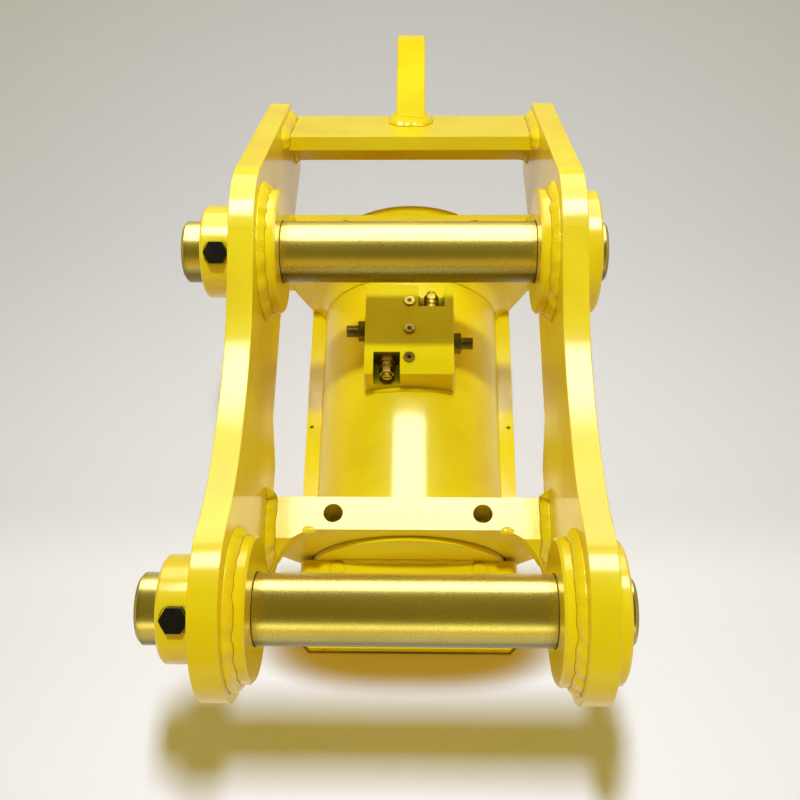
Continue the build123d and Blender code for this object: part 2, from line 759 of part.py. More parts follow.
def end_disc(near):
    """Flange on the end of the shaft; the base is bolted to it."""
    y0, y1 = (near_disc_front, near_disc_back) if near else (far_disc_front, far_disc_back)
    part = rod_y(disc_r, y0, y1)
    part = chamfer(outer_rim(part, Axis.Y, not near), disc_chamfer)
    part -= rod_y(spigot_r + press_gap, y0 - cut_past, y1 + cut_past)
    outer, out = (y0, -1) if near else (y1, 1)
    for x, z in bolt_places():
        ends = sorted((outer + out, outer - out * (flange_bolt_bite + cut_past)))
        part -= rod_y(flange_bolt_dia / 2 + press_gap, *ends, x, z)
    for x, z in screw_places():
        part -= rod_y(shaft_screw_dia / 2 + bolt_gap, y0 - cut_past, y1 + cut_past, x, z)
        ends = sorted((outer + out, outer - out * shaft_screw_sink))
        part -= rod_y(shaft_screw_dia * socket_head_share / 2 + bolt_gap, *ends, x, z)
    return part


def flange_bolts(near):
    """Hexagon bolts that hold an end plate of the base to its disc."""
    seat = near_plate_front if near else far_plate_back
    tip = seat + (end_plate_thick + flange_bolt_bite) * (1 if near else -1)
    turn = Rot(90, 0, 0) if near else Rot(-90, 0, 0)
    head = hexagon(flange_bolt_dia * hex_share, flange_bolt_dia * bolt_head_share)
    return group([rod_y(flange_bolt_dia / 2, min(seat, tip), max(seat, tip), x, z)
                  + Pos(x, seat, z) * turn * head for x, z in bolt_places()])


def end_plate(near):
    """Upright end plate of the base, rounded at its upper corners."""
    y0 = near_plate_front if near else far_disc_back
    y1 = y0 + end_plate_thick
    half, top = end_plate_half, axis_height + end_plate_rise
    outline = make_face(Polyline((-half, base_top), (half, base_top), (half, top), (-half, top), close=True))
    outline = fillet([v for v in outline.vertices() if v.Y > top - pick_margin], end_plate_round)
    part = slab_y(outline, y0, y1)
    for x, z in bolt_places():
        part -= rod_y(flange_bolt_dia / 2 + bolt_gap, y0 - cut_past, y1 + cut_past, x, z)
    return part


def base_hole_places():
    half_x, half_y = base_hole_spacing_x / 2, yoke_out - base_hole_inset
    return [(x, y) for x in (-half_x, half_x) for y in (-half_y, half_y)]


def base_plate():
    """Flat base plate with clipped corners and holes for the attachment's bolts."""
    part = block(-base_half, base_half, base_front, base_back, pad_thick, base_top)
    part = chamfer(part.edges().filter_by(Axis.Z), base_clip)
    for x, y in base_hole_places():
        part -= Pos(x, y, base_top / 2) * Cylinder(base_hole_dia / 2, 2 * base_top)
    middle = (pad_thick + base_top) / 2
    for side in (1, -1):
        x = side * (base_half - edge_hole_inset)
        part -= rod_y(edge_hole_dia / 2, base_front - cut_past, base_front + edge_hole_depth, x, middle)
    return part


def foot_pads():
    """Machined pads under the corners, drilled with the base plate."""
    pads = []
    for x, y in base_hole_places():
        side = math.copysign(1, x)
        edge, into = (base_back, -1) if y > 0 else (base_front, 1)
        x0, x1 = sorted((side * (base_half - pad_inset), side * (base_half - pad_inset - pad_width)))
        y0, y1 = sorted((edge + into * pad_setback, edge + into * (pad_setback + pad_length)))
        pad = block(x0, x1, y0, y1, 0, pad_thick)
        pad = chamfer(pad.edges().filter_by(Axis.Z), pad_clip)
        pads.append(pad - Pos(x, y, 0) * Cylinder(base_hole_dia / 2, base_top))
    return group(pads)


def side_bars():
    """Two low bars that stiffen the long edges of the base."""
    top = base_top + side_bar_height
    bar = block(base_half - side_bar_width, base_half, near_disc_front, far_disc_back, base_top, top)
    bar = chamfer(bar.edges().filter_by(Axis.Y).sort_by(Axis.Z)[-2:], side_bar_chamfer)
    return group([bar, mirrored(bar)])


def base_ribs():
    """Triangular ribs between the base plate and its end plates."""
    ribs = []
    length = base_past_end_plate - rib_inset
    top = base_top + rib_height
    x1 = end_plate_half - rib_inset
    for face, out in ((near_plate_front, -1), (far_plate_back, 1)):
        toe = face + out * length
        points = [(face, base_top), (toe, base_top), (toe, base_top + rib_tip),
                  (face + out * rib_tip, top), (face, top)]
        rib = slab_x(points, x1 - rib_thick, x1)
        ribs.extend([rib, mirrored(rib)])
    return group(ribs)


def pocket_places():
    """Left front pocket and right rear pocket: side, open edge and the edge's direction in Y."""
    return [(-1, block_front, -1), (1, block_back, 1)]


def valve_block():
    """Valve block with a saddle underside and an open pocket at each end."""
    half = block_width / 2
    part = block(-half, half, block_front, block_back, crown - block_skirt, block_top)
    part = chamfer(part.edges().filter_by(Axis.Z), block_chamfer)
    part -= rod_y(barrel_r + press_gap, block_front - cut_past, block_back + cut_past)
    shape = RectangleRounded(pocket_width, 2 * pocket_depth, pocket_round)
    for side, edge, out in pocket_places():
        x = side * (pocket_inset + pocket_width / 2)
        back = edge - out * pocket_length
        part -= slab_y(Pos(x, block_top) * shape, *sorted((back, edge + out * cut_past)))
        ends = sorted((back, back - out * cartridge_hole_depth))
        part -= rod_y(cartridge_thread_dia / 2, *ends, x, block_top - pocket_depth / 2)
    for i in (-1, 0, 1):
        hole = Cylinder(block_screw_dia / 2 + press_gap, 2 * block_screw_length)
        part -= Pos(0, block_centre_y + i * screw_pitch, block_top) * hole
    return part


def cartridges():
    """Relief cartridges, one in each pocket of the valve block."""
    thread = Cylinder(cartridge_thread_dia / 2 - press_gap, cartridge_thread_length)
    cartridge = Pos(0, 0, -cartridge_thread_length / 2) * thread
    steps = [
        (cartridge_flange_dia, cartridge_flange_height), (cartridge_groove_dia, cartridge_groove_width),
        (cartridge_collar_dia, cartridge_collar_height), (cartridge_groove_dia, cartridge_groove_width),
    ]
    start = 0
    for dia, height in steps:
        step = Cylinder(dia / 2, height)
        if dia > cartridge_groove_dia:
            step = chamfer(step.edges().filter_by(GeomType.CIRCLE).sort_by(Axis.Z)[-1:], cartridge_edge)
        cartridge += Pos(0, 0, start + height / 2) * step
        start += height
    cartridge += Pos(0, 0, start) * hexagon(cartridge_hex, cartridge_hex_height)
    start += cartridge_hex_height
    tip = Cylinder(cartridge_tip_dia / 2, cartridge_tip_height)
    cartridge += Pos(0, 0, start + cartridge_tip_height / 2) * tip
    slot = Box(cartridge_tip_dia, cartridge_slot_width, 2 * cartridge_slot_depth)
    cartridge -= Pos(0, 0, start + cartridge_tip_height) * slot
    parts = []
    for side, edge, out in pocket_places():
        x = side * (pocket_inset + pocket_width / 2)
        place = Pos(x, edge - out * pocket_length, block_top - pocket_depth / 2)
        parts.append(place * Rot(-90 * out, 0, 0) * cartridge)
    return group(parts)


def block_screws():
    """Socket screws that hold the valve block down."""
    head = block_screw_head_height
    screw = Pos(0, 0, head / 2) * Cylinder(block_screw_head_dia / 2, head)
    screw += Pos(0, 0, -block_screw_length / 2) * Cylinder(block_screw_dia / 2, block_screw_length)
    screw -= Pos(0, 0, -head / 2) * hexagon(block_screw_dia * thin_socket_share, 2 * head)
    return group([Pos(0, block_centre_y + i * screw_pitch, block_top) * screw for i in (-1, 0, 1)])


def hose_fittings():
    """Screwed fittings on both sides of the valve block, with a tube end for a hose."""
    z = crown + block_rise / 2
    parts = []
    for side, shift in ((-1, left_fitting_shift), (1, right_fitting_shift)):
        face = side * block_width / 2
        tip = face + side * fitting_tube_length
        y = block_centre_y + shift
        nut = Pos(face, y, z) * Rot(0, side * 90, 0) * hexagon(fitting_size, fitting_nut_height)
        tube = rod_x(fitting_tube_dia / 2, *sorted((face, tip)), y, z)
        ends = sorted((tip - side * fitting_bore_depth, tip + side * cut_past))
        parts.append(nut + tube - rod_x(fitting_bore_dia / 2, *ends, y, z))
    return group(parts)


def all_nodes():
    pins = ((near_y, near_bolt_lean), (far_y, far_bolt_lean))
    return {
        "side_plate_left": side_plate(True),
        "side_plate_right": side_plate(False),
        "near_yoke": yoke(True),
        "far_yoke": yoke(False),
        "gussets": group([gusset(), mirrored(gusset())]),
        "tie_plate": tie_plate(),
        "rear_web": rear_web(),
        "lifting_eye": lifting_eye(),
        "near_inner_bosses": inner_bosses(near_y),
        "far_inner_bosses": inner_bosses(far_y),
        "near_outer_boss": outer_boss(near_y, near_outer_boss_proud),
        "far_outer_boss": outer_boss(far_y, far_outer_boss_proud),
        "near_lock_collar": lock_collar(near_y, near_bolt_lean),
        "far_lock_collar": lock_collar(far_y, far_bolt_lean),
        "near_pin": pin(near_y, near_bolt_lean, near_outer_boss_proud),
        "far_pin": pin(far_y, far_bolt_lean, far_outer_boss_proud),
        "lock_bolts": group([lock_bolt(y, lean) for y, lean in pins]),
        "lock_nuts": group([lock_nut(y, lean) for y, lean in pins]),
        "barrel": barrel(),
        "near_gland": gland(True),
        "far_gland": gland(False),
        "gland_seals": group([gland_seal(True), gland_seal(False)]),
        "shaft_bushes": group([shaft_bush(True), shaft_bush(False)]),
        "ring_gear": ring_gear(),
        "valve_block": valve_block(),
        "cartridges": cartridges(),
        "block_screws": block_screws(),
        "hose_fittings": hose_fittings(),
        "piston_sleeve": piston_sleeve(),
        "piston_seals": piston_seals(),
        "shaft": shaft(),
        "near_shaft_screws": shaft_screws(True),
        "far_shaft_screws": shaft_screws(False),
        "near_end_disc": end_disc(True),
        "far_end_disc": end_disc(False),
        "near_end_plate": end_plate(True),
        "far_end_plate": end_plate(False),
        "near_flange_bolts": flange_bolts(True),
        "far_flange_bolts": flange_bolts(False),
        "base_plate": base_plate(),
        "foot_pads": foot_pads(),
        "side_bars": side_bars(),
        "base_ribs": base_ribs(),
    }


os.makedirs("parts", exist_ok=True)
for name, shape in all_nodes().items():
    export_step(shape, f"parts/{name}.step")
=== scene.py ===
import json
import math

import bpy
import numpy as np
from mathutils import Matrix, Vector


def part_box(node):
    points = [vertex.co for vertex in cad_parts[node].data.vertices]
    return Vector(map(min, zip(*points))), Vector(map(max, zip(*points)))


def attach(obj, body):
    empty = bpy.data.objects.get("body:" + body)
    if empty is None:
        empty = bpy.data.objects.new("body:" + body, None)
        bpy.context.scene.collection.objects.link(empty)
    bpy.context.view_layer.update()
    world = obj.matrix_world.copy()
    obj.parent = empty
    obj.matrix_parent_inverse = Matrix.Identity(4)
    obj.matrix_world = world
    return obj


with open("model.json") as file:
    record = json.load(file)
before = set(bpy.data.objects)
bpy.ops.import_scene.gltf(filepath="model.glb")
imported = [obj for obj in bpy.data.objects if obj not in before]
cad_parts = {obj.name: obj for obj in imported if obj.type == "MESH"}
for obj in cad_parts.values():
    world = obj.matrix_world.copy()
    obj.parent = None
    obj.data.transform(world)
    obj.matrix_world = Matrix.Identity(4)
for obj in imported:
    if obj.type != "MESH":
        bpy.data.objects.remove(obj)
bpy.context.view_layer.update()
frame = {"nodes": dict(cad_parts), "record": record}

# Tilting quick coupler: the imported bodies get their finishes, and the welds, the dark lips at
# the pins and the dark discs in the screws' sockets, which paint the shade there, and the threads
# are modelled here. Metres, +Z up, Y along the tilt axis.

nodes = frame["nodes"]
print("frame loaded:", len(nodes), "nodes")


# The camera, solved from the outlines of the pins, plates and yokes in the photo.
camera = {
    "place": (0.01595, -0.6805, 1.6115),
    "pitch": 64.008,       # degrees below the horizon
    "yaw": -2.639,
    "roll": -2.188,
    "lens": 45.0,
    "sensor": 36.0,
}


def placeCamera(c):
    pitch, yaw, roll = (math.radians(c[k]) for k in ("pitch", "yaw", "roll"))
    flat = math.cos(pitch)
    ahead = Vector((math.sin(yaw) * flat, math.cos(yaw) * flat, -math.sin(pitch)))
    level = Vector((math.cos(yaw), -math.sin(yaw), 0.0))
    over = level.cross(ahead)
    right = level * math.cos(roll) + over * math.sin(roll)
    up = over * math.cos(roll) - level * math.sin(roll)
    data = bpy.data.cameras.new("camera")
    data.lens, data.sensor_width = c["lens"], c["sensor"]
    cam = bpy.data.objects.new("camera", data)
    turn = Matrix((right, up, -ahead)).transposed().to_4x4()
    cam.matrix_world = Matrix.Translation(c["place"]) @ turn
    bpy.context.scene.collection.objects.link(cam)
    bpy.context.scene.camera = cam


placeCamera(camera)
bpy.context.scene.view_settings.view_transform = "Standard"
print("camera set")


def linear(hexColour):
    # sRGB hex to linear light
    parts = [int(hexColour[i:i + 2], 16) / 255 for i in (1, 3, 5)]
    light = [p / 12.92 if p <= 0.04045 else ((p + 0.055) / 1.055) ** 2.4 for p in parts]
    return (*light, 1.0)


def addNode(tree, kind, settings=None, links=None, **options):
    # One node with its options, the values of its sockets and the links into them. In a Mix of
    # colours, socket 0 is the factor, 6 and 7 are the two colours, and output 2 is the result.
    node = tree.nodes.new(kind)
    for key, value in options.items():
        setattr(node, key, value)
    for key, value in (settings or {}).items():
        node.inputs[key].default_value = value
    for key, source in (links or {}).items():
        tree.links.new(source, node.inputs[key])
    return node


def newMaterial(name):
    material = bpy.data.materials.new(name)
    material.use_nodes = True
    material.node_tree.nodes.clear()
    return material, material.node_tree


enamel = {
    "name": "yellowEnamel",
    "colour": "#F2DC16",
    "deepColour": "#E9C90C",
    "dustColour": "#F3E9A6",
    "dust": (0.60, 0.80, 0.2),   # specks from where to where in the noise, and how strong
    "recessShadeColour": "#422C00",   # painted shade deep in pockets and gaps
    "shadeReach": 0.028,
    "shadeRange": (0.05, 0.36),
    "shadeShare": 0.92,
    "brokenShade": 0.30,         # share of the painted shade left where noise breaks it up
    "cloudSize": 0.12,       # slow drift of the colour over a plate
    "speckSize": 0.004,
    "peelSize": 0.0022,      # orange peel, drawn coarser than the real 0.8 mm so that it shows
    "peelDepth": 0.00003,
    "edgeRound": 0.0012,     # flame-cut edges broken by the grinder
    "roughness": (0.34, 0.44),
    "coat": (0.65, 0.15),    # weight and roughness of the clear gloss on top
}


def yellowEnamel(e):
    # Two-pack enamel sprayed over shot-blasted steel plate: an even lemon yellow whose gloss
    # is broken by a soft orange peel, with fine pale specks, edges that catch the light, and
    # painted shade in pockets and gaps.
    material, tree = newMaterial(e["name"])
    place = addNode(tree, "ShaderNodeTexCoord").outputs["Object"]
    cloud = addNode(tree, "ShaderNodeTexNoise", {"Scale": 1 / e["cloudSize"], "Detail": 3.0},
                    {"Vector": place})
    peel = addNode(tree, "ShaderNodeTexNoise", {"Scale": 1 / e["peelSize"], "Detail": 2.0},
                   {"Vector": place})
    speck = addNode(tree, "ShaderNodeTexNoise",
                    {"Scale": 1 / e["speckSize"], "Detail": 6.0, "Roughness": 0.7},
                    {"Vector": place})
    drift = addNode(tree, "ShaderNodeMapRange", {"From Min": 0.35, "From Max": 0.7},
                    {"Value": cloud.outputs[0]})
    tone = addNode(tree, "ShaderNodeMix", {6: linear(e["colour"]), 7: linear(e["deepColour"])},
                   {0: drift.outputs[0]}, data_type="RGBA")
    start, full, most = e["dust"]
    dust = addNode(tree, "ShaderNodeMapRange",
                   {"From Min": start, "From Max": full, "To Max": most},
                   {"Value": speck.outputs[0]})
    dusted = addNode(tree, "ShaderNodeMix", {7: linear(e["dustColour"])},
                     {0: dust.outputs[0], 6: tone.outputs[2]}, data_type="RGBA")
    # painted shade: the colour darkens where nearby parts shut the surface in
    openness = addNode(tree, "ShaderNodeAmbientOcclusion", {"Distance": e["shadeReach"]},
                       samples=6)
    shut, free = e["shadeRange"]
    deep = addNode(tree, "ShaderNodeMapRange",
                   {"From Min": shut, "From Max": free, "To Min": e["shadeShare"], "To Max": 0.0},
                   {"Value": openness.outputs["AO"]})
    # noise breaks the painted shade here and there, so that the dark line along a weld is broken
    brokenShade = addNode(tree, "ShaderNodeMapRange",
                      {"From Min": 0.42, "From Max": 0.60, "To Min": e["brokenShade"]},
                      {"Value": speck.outputs[0]})
    recessShade = addNode(tree, "ShaderNodeMath", links={0: deep.outputs[0], 1: brokenShade.outputs[0]},
                     operation="MULTIPLY")
    shaded = addNode(tree, "ShaderNodeMix", {7: linear(e["recessShadeColour"])},
                     {0: recessShade.outputs[0], 6: dusted.outputs[2]}, data_type="RGBA")
    rough = addNode(tree, "ShaderNodeMapRange",
                    {"To Min": e["roughness"][0], "To Max": e["roughness"][1]},
                    {"Value": cloud.outputs[0]})
    rounded = addNode(tree, "ShaderNodeBevel", {"Radius": e["edgeRound"]}, samples=4)
    bump = addNode(tree, "ShaderNodeBump", {"Strength": 0.35, "Distance": e["peelDepth"]},
                   {"Height": peel.outputs[0], "Normal": rounded.outputs[0]})
    coat, coatRoughness = e["coat"]
    shader = addNode(tree, "ShaderNodeBsdfPrincipled",
                     {"IOR": 1.5, "Specular IOR Level": 0.1, "Coat Weight": coat,
                      "Coat Roughness": coatRoughness},
                     {"Base Color": shaded.outputs[2], "Roughness": rough.outputs[0],
                      "Normal": bump.outputs[0]})
    addNode(tree, "ShaderNodeOutputMaterial", links={"Surface": shader.outputs[0]})
    return material


platedPin = {
    "colour": "#D9CB76",
    "darkColour": "#94823A",
    "speckSize": 0.0017,
    "stainSize": 0.06,
    "turnPitch": 0.0011,     # turning marks round the pin, drawn coarser than the real 0.2 mm feed
    "turnDepth": 0.00001,
    "endDarkening": (0.010, 0.9),   # width and strength of the darker plating at the pin's ends
    # painted shade along the underside of the pin: its colour, and where it starts and is full
    "undersideShadeColour": "#5C4F1E",
    "undersideShadeBand": (0.48, 0.14),   # shares of the radius above the axis where it starts and is full
    "roughness": (0.20, 0.36),
}


def yellowZincPin(p, node):
    # Turned and ground steel with yellow zinc plating: brassy satin with fine pits and faint rings,
    # browner at the chamfered ends, where the bath runs off; painted shade darkens the underside.
    material, tree = newMaterial("yellowZinc_" + node)
    low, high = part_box(node)
    place = addNode(tree, "ShaderNodeTexCoord").outputs["Object"]
    split = addNode(tree, "ShaderNodeSeparateXYZ", links={"Vector": place})
    speck = addNode(tree, "ShaderNodeTexNoise",
                    {"Scale": 1 / p["speckSize"], "Detail": 4.0, "Roughness": 0.7},
                    {"Vector": place})
    stretched = addNode(tree, "ShaderNodeMapping", {"Scale": (0.4, 1.0, 1.0)}, {"Vector": place})
    stain = addNode(tree, "ShaderNodeTexNoise", {"Scale": 1 / p["stainSize"], "Detail": 4.0},
                    {"Vector": stretched.outputs[0]})
    turned = addNode(tree, "ShaderNodeTexNoise", {"Scale": 1 / p["turnPitch"], "Detail": 1.0},
                     {"W": split.outputs[0]}, noise_dimensions="1D")
    speckShare = addNode(tree, "ShaderNodeMapRange",
                         {"From Min": 0.50, "From Max": 0.78, "To Max": 0.8},
                         {"Value": speck.outputs[0]})
    stainShare = addNode(tree, "ShaderNodeMapRange",
                         {"From Min": 0.45, "From Max": 0.85, "To Max": 0.4},
                         {"Value": stain.outputs[0]})
    band, most = p["endDarkening"]
    fromLeft = addNode(tree, "ShaderNodeMapRange",
                       {"From Min": low.x, "From Max": low.x + band, "To Min": most, "To Max": 0.0},
                       {"Value": split.outputs[0]})
    fromRight = addNode(tree, "ShaderNodeMapRange",
                        {"From Min": high.x - band, "From Max": high.x, "To Max": most},
                        {"Value": split.outputs[0]})
    ends = addNode(tree, "ShaderNodeMath", links={0: fromLeft.outputs[0], 1: fromRight.outputs[0]},
                   operation="MAXIMUM")
    spots = addNode(tree, "ShaderNodeMath",
                    links={0: speckShare.outputs[0], 1: stainShare.outputs[0]},
                    operation="MAXIMUM")
    dark = addNode(tree, "ShaderNodeMath", links={0: spots.outputs[0], 1: ends.outputs[0]},
                   operation="MAXIMUM")
    plated = addNode(tree, "ShaderNodeMix", {6: linear(p["colour"]), 7: linear(p["darkColour"])},
                     {0: dark.outputs[0]}, data_type="RGBA")
    # painted shade: the lower side of the pin is darker the lower it lies
    middle, radius = (low.z + high.z) / 2, (high.z - low.z) / 2
    start, full = (middle + share * radius for share in p["undersideShadeBand"])
    undersideShade = addNode(tree, "ShaderNodeMapRange",
                    {"From Min": start, "From Max": full, "To Max": 0.85},
                    {"Value": split.outputs[2]}, interpolation_type="SMOOTHSTEP")
    tone = addNode(tree, "ShaderNodeMix", {7: linear(p["undersideShadeColour"])},
                   {0: undersideShade.outputs[0], 6: plated.outputs[2]}, data_type="RGBA")
    rough = addNode(tree, "ShaderNodeMapRange",
                    {"To Min": p["roughness"][0], "To Max": p["roughness"][1]},
                    {"Value": speck.outputs[0]})
    rings = addNode(tree, "ShaderNodeBump", {"Strength": 0.3, "Distance": p["turnDepth"]},
                    {"Height": turned.outputs[0]})
    pits = addNode(tree, "ShaderNodeBump", {"Strength": 0.25, "Distance": 0.00002},
                   {"Height": speck.outputs[0], "Normal": rings.outputs[0]})
    shader = addNode(tree, "ShaderNodeBsdfPrincipled", {"Metallic": 1.0},
                     {"Base Color": tone.outputs[2], "Roughness": rough.outputs[0],
                      "Normal": pits.outputs[0]})
    addNode(tree, "ShaderNodeOutputMaterial", links={"Surface": shader.outputs[0]})
    return material


satin = {
    "edgeRound": 0.0009,     # broken edges of small machined parts
    "grainDepth": 0.00002,
}


def satinMetal(name, colour, darkColour, grain, roughness, metallic=1.0):
    # Machined or plated metal, and rubber with metallic 0: a base colour clouded by a darker
    # one and a fine grain in the gloss.
    material, tree = newMaterial(name)
    place = addNode(tree, "ShaderNodeTexCoord").outputs["Object"]
    cloud = addNode(tree, "ShaderNodeTexNoise", {"Scale": 1 / (12 * grain), "Detail": 4.0},
                    {"Vector": place})
    fine = addNode(tree, "ShaderNodeTexNoise", {"Scale": 1 / grain, "Detail": 3.0},
                   {"Vector": place})
    share = addNode(tree, "ShaderNodeMapRange", {"From Min": 0.4, "From Max": 0.75},
                    {"Value": cloud.outputs[0]})
    tone = addNode(tree, "ShaderNodeMix", {6: linear(colour), 7: linear(darkColour)},
                   {0: share.outputs[0]}, data_type="RGBA")
    rough = addNode(tree, "ShaderNodeMapRange", {"To Min": roughness[0], "To Max": roughness[1]},
                    {"Value": fine.outputs[0]})
    rounded = addNode(tree, "ShaderNodeBevel", {"Radius": satin["edgeRound"]}, samples=4)
    bump = addNode(tree, "ShaderNodeBump", {"Strength": 0.4, "Distance": satin["grainDepth"]},
                   {"Height": fine.outputs[0], "Normal": rounded.outputs[0]})
    shader = addNode(tree, "ShaderNodeBsdfPrincipled", {"Metallic": metallic},
                     {"Base Color": tone.outputs[2], "Roughness": rough.outputs[0],
                      "Normal": bump.outputs[0]})
    addNode(tree, "ShaderNodeOutputMaterial", links={"Surface": shader.outputs[0]})
    return material


paint = yellowEnamel(enamel)
finishes = {
    "yellow_paint": paint,
    "painted_bolt": paint,
    # oiled black oxide: nearly black with a soft grey sheen
    "black_bolt": satinMetal("blackOxide", "#1B1B1C", "#0C0C0D", 0.0008, (0.35, 0.5), 0.6),
    # yellow zinc on socket screws
    "plated_screw": satinMetal("yellowZincScrew", "#C6B468", "#93823F", 0.0008, (0.30, 0.44)),
    # zinc-nickel plated cartridges with a brass tone
    "brass_cartridge": satinMetal("brassCartridge", "#DCC873", "#94843C", 0.0010, (0.28, 0.42)),
    # dull plating on the hose fittings
    "fitting_steel": satinMetal("fittingPlating", "#8E8158", "#574C2E", 0.0010, (0.30, 0.45)),
    # ground and oiled steel inside the actuator
    "machined_steel": satinMetal("groundSteel", "#9C9C9E", "#7E7E82", 0.0012, (0.22, 0.36)),
    # sintered bearing bronze
    "bronze": satinMetal("bearingBronze", "#B58A4A", "#8A6330", 0.0012, (0.30, 0.45)),
    # nitrile seals
    "seal_rubber": satinMetal("nitrileRubber", "#1A1A1A", "#101010", 0.0010, (0.55, 0.7), 0.0),
}


# The pockets of the valve block stand in their own shade, so in this copy of the enamel the
# painted shade is darker and reaches further out of its corners.
blockEnamel = {**enamel, "name": "blockEnamel", "shadeReach": 0.045,
               "shadeRange": (0.35, 0.80), "brokenShade": 1.0, "recessShadeColour": "#2E1C00"}


def dressNodes():
    slots = {s["node"]: s["material_slot"] for s in frame["record"]["subparts"]}
    for name, obj in nodes.items():
        if slots[name] == "pin_steel":
            material = yellowZincPin(platedPin, name)
        elif name == "valve_block":
            material = yellowEnamel(blockEnamel)
        else:
            material = finishes[slots[name]]
        obj.data.materials.clear()
        obj.data.materials.append(material)


dressNodes()
print("finishes on the CAD nodes")


def gridFaces(rows, cols, closedRows, closedCols):
    # four-cornered faces over a grid of points stored row by row; a closed way joins its ends
    r = np.arange(rows if closedRows else rows - 1)
    c = np.arange(cols if closedCols else cols - 1)
    rr, cc = np.meshgrid(r, c, indexing="ij")
    up, over = (rr + 1) % rows, (cc + 1) % cols
    corners = [rr * cols + cc, rr * cols + over, up * cols + over, up * cols + cc]
    return np.stack(corners, -1).reshape(-1, 4)


def makePiece(name, parts, body, slot):
    # joins (points, faces) pairs into one mesh and lets it ride on a body
    points, faces, base = [], [], 0
    for p, f in parts:
        points.append(p)
        faces.extend([[i + base for i in face] for face in f])
        base += len(p)
    mesh = bpy.data.meshes.new(name)
    mesh.from_pydata(np.concatenate(points).tolist(), [], faces)
    mesh.polygons.foreach_set("use_smooth", [True] * len(mesh.polygons))
    mesh.materials.append(finishes[slot])
    piece = bpy.data.objects.new(name, mesh)
    bpy.context.scene.collection.objects.link(piece)
    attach(piece, body)
    return piece


bead = {
    "ripplePitch": 0.0046,
    "rippleShare": 0.032,
    "rippleSwing": 0.5,      # how much the ripples' strength comes and goes
    "rippleDrift": 0.35,     # how far their spacing wanders, in ripples
    "crestLag": 0.45,        # how far a crest lags in the middle of the bead, in ripples
    "bulge": 0.12,
    "lumps": 0.06,
    "lumpLength": 0.019,     # shortest lump
    "lumpSpread": 0.35,      # share of the lumps that the middle of the bead takes up
    "fan": 9,                # points across the bead
    "step": 0.0012,
    "rootSink": 0.0004,      # how far the corner of the section sinks into the plates
}
beadRandom = np.random.default_rng(7)


def resample(path, *along):
    # same path with points at equal steps along its length, and anything given per corner
    path = np.asarray(path, float)
    runs = np.linalg.norm(np.diff(path, axis=0), axis=1)
    s = np.concatenate([[0], np.cumsum(runs)])
    t = np.linspace(0, s[-1], max(8, int(s[-1] / bead["step"])))
    return [np.stack([np.interp(t, s, a[:, k]) for k in range(3)], 1) for a in (path, *along)] + [t]


def slowWaves(share, count):
    # sum of sines of random size and phase; whole waves, so that a closed ring has no seam
    waves = np.arange(1, count + 1)
    size = beadRandom.normal(0, 1, count) / math.sqrt(count / 2)
    phase = beadRandom.uniform(0, 2 * math.pi, count)
    return (size * np.sin(2 * math.pi * share[:, None] * waves + phase)).sum(1)


def filletBead(path, sideA, sideB, leg, closed=False, runOut=1.0):
    # Weld in the corner between two faces. At every step s of the path the section is a
    # quarter fan: corner + leg * r(a) * (cos a * sideA + sin a * sideB), where
    # r(a) = (1 + bulge * sin 2a) / (cos a + sin a). It swells by a ripple whose crest lags
    # behind in the middle of the bead and by slow lumps of its own on each of the two legs,
    # and it runs out to nothing at its ends over runOut legs.
    path = np.asarray(path, float)
    if callable(sideA):
        sideA = sideA(path)
    if callable(sideB):
        sideB = sideB(path)
    toA = np.broadcast_to(np.asarray(sideA, float), path.shape)
    toB = np.broadcast_to(np.asarray(sideB, float), path.shape)
    pts, toA, toB, s = resample(path, toA, toB)
    total = s[-1]
    share = s / total
    a = np.linspace(0, math.pi / 2, bead["fan"])
    count = max(3, int(total / bead["lumpLength"]))
    beat = round(total / bead["ripplePitch"]) * share
    beat = beat + bead["rippleDrift"] * slowWaves(share, count)
    lag = beat[:, None] - bead["crestLag"] * np.sin(2 * a)[None, :]
    strength = 1 + bead["rippleSwing"] * slowWaves(share, count)
    ripple = 1 + bead["rippleShare"] * strength[:, None] * (np.abs(np.sin(math.pi * lag)) - 0.6)
    lumpA, lumpB = (bead["lumps"] * slowWaves(share, count)[:, None] for _ in range(2))
    fan = (1 + bead["bulge"] * np.sin(2 * a)) / (np.cos(a) + np.sin(a))
    size = leg * fan[None, :] * ripple * (1 + lumpA * np.cos(a) ** 2 + lumpB * np.sin(a) ** 2)
    size = size * (1 + bead["lumpSpread"] * (lumpA + lumpB) * np.sin(2 * a))
    if not closed:
        fromEnd = np.minimum(s, total - s)
        size = size * np.sqrt(np.clip(fromEnd / (runOut * leg), 0.01, 1))[:, None]
    ca, sa = np.cos(a)[None, :, None], np.sin(a)[None, :, None]
    spread = ca * toA[:, None, :] + sa * toB[:, None, :]
    root = pts - bead["rootSink"] * (toA + toB)
    grid = np.concatenate([pts[:, None, :] + size[..., None] * spread, root[:, None, :]], 1)
    if closed:
        grid = grid[:-1]
    rows, cols = grid.shape[:2]
    faces = gridFaces(rows, cols, closed, True).tolist()
    if not closed:
        ends = np.arange(cols)
        faces += [ends.tolist(), (ends[::-1] + (rows - 1) * cols).tolist()]
    if np.dot(np.cross(toA[0], toB[0]), pts[1] - pts[0]) < 0:
        faces = [f[::-1] for f in faces]
    return grid.reshape(-1, 3), faces


blob = {"around": 28, "up": 14, "wave": 0.08, "capAngle": 0.02}


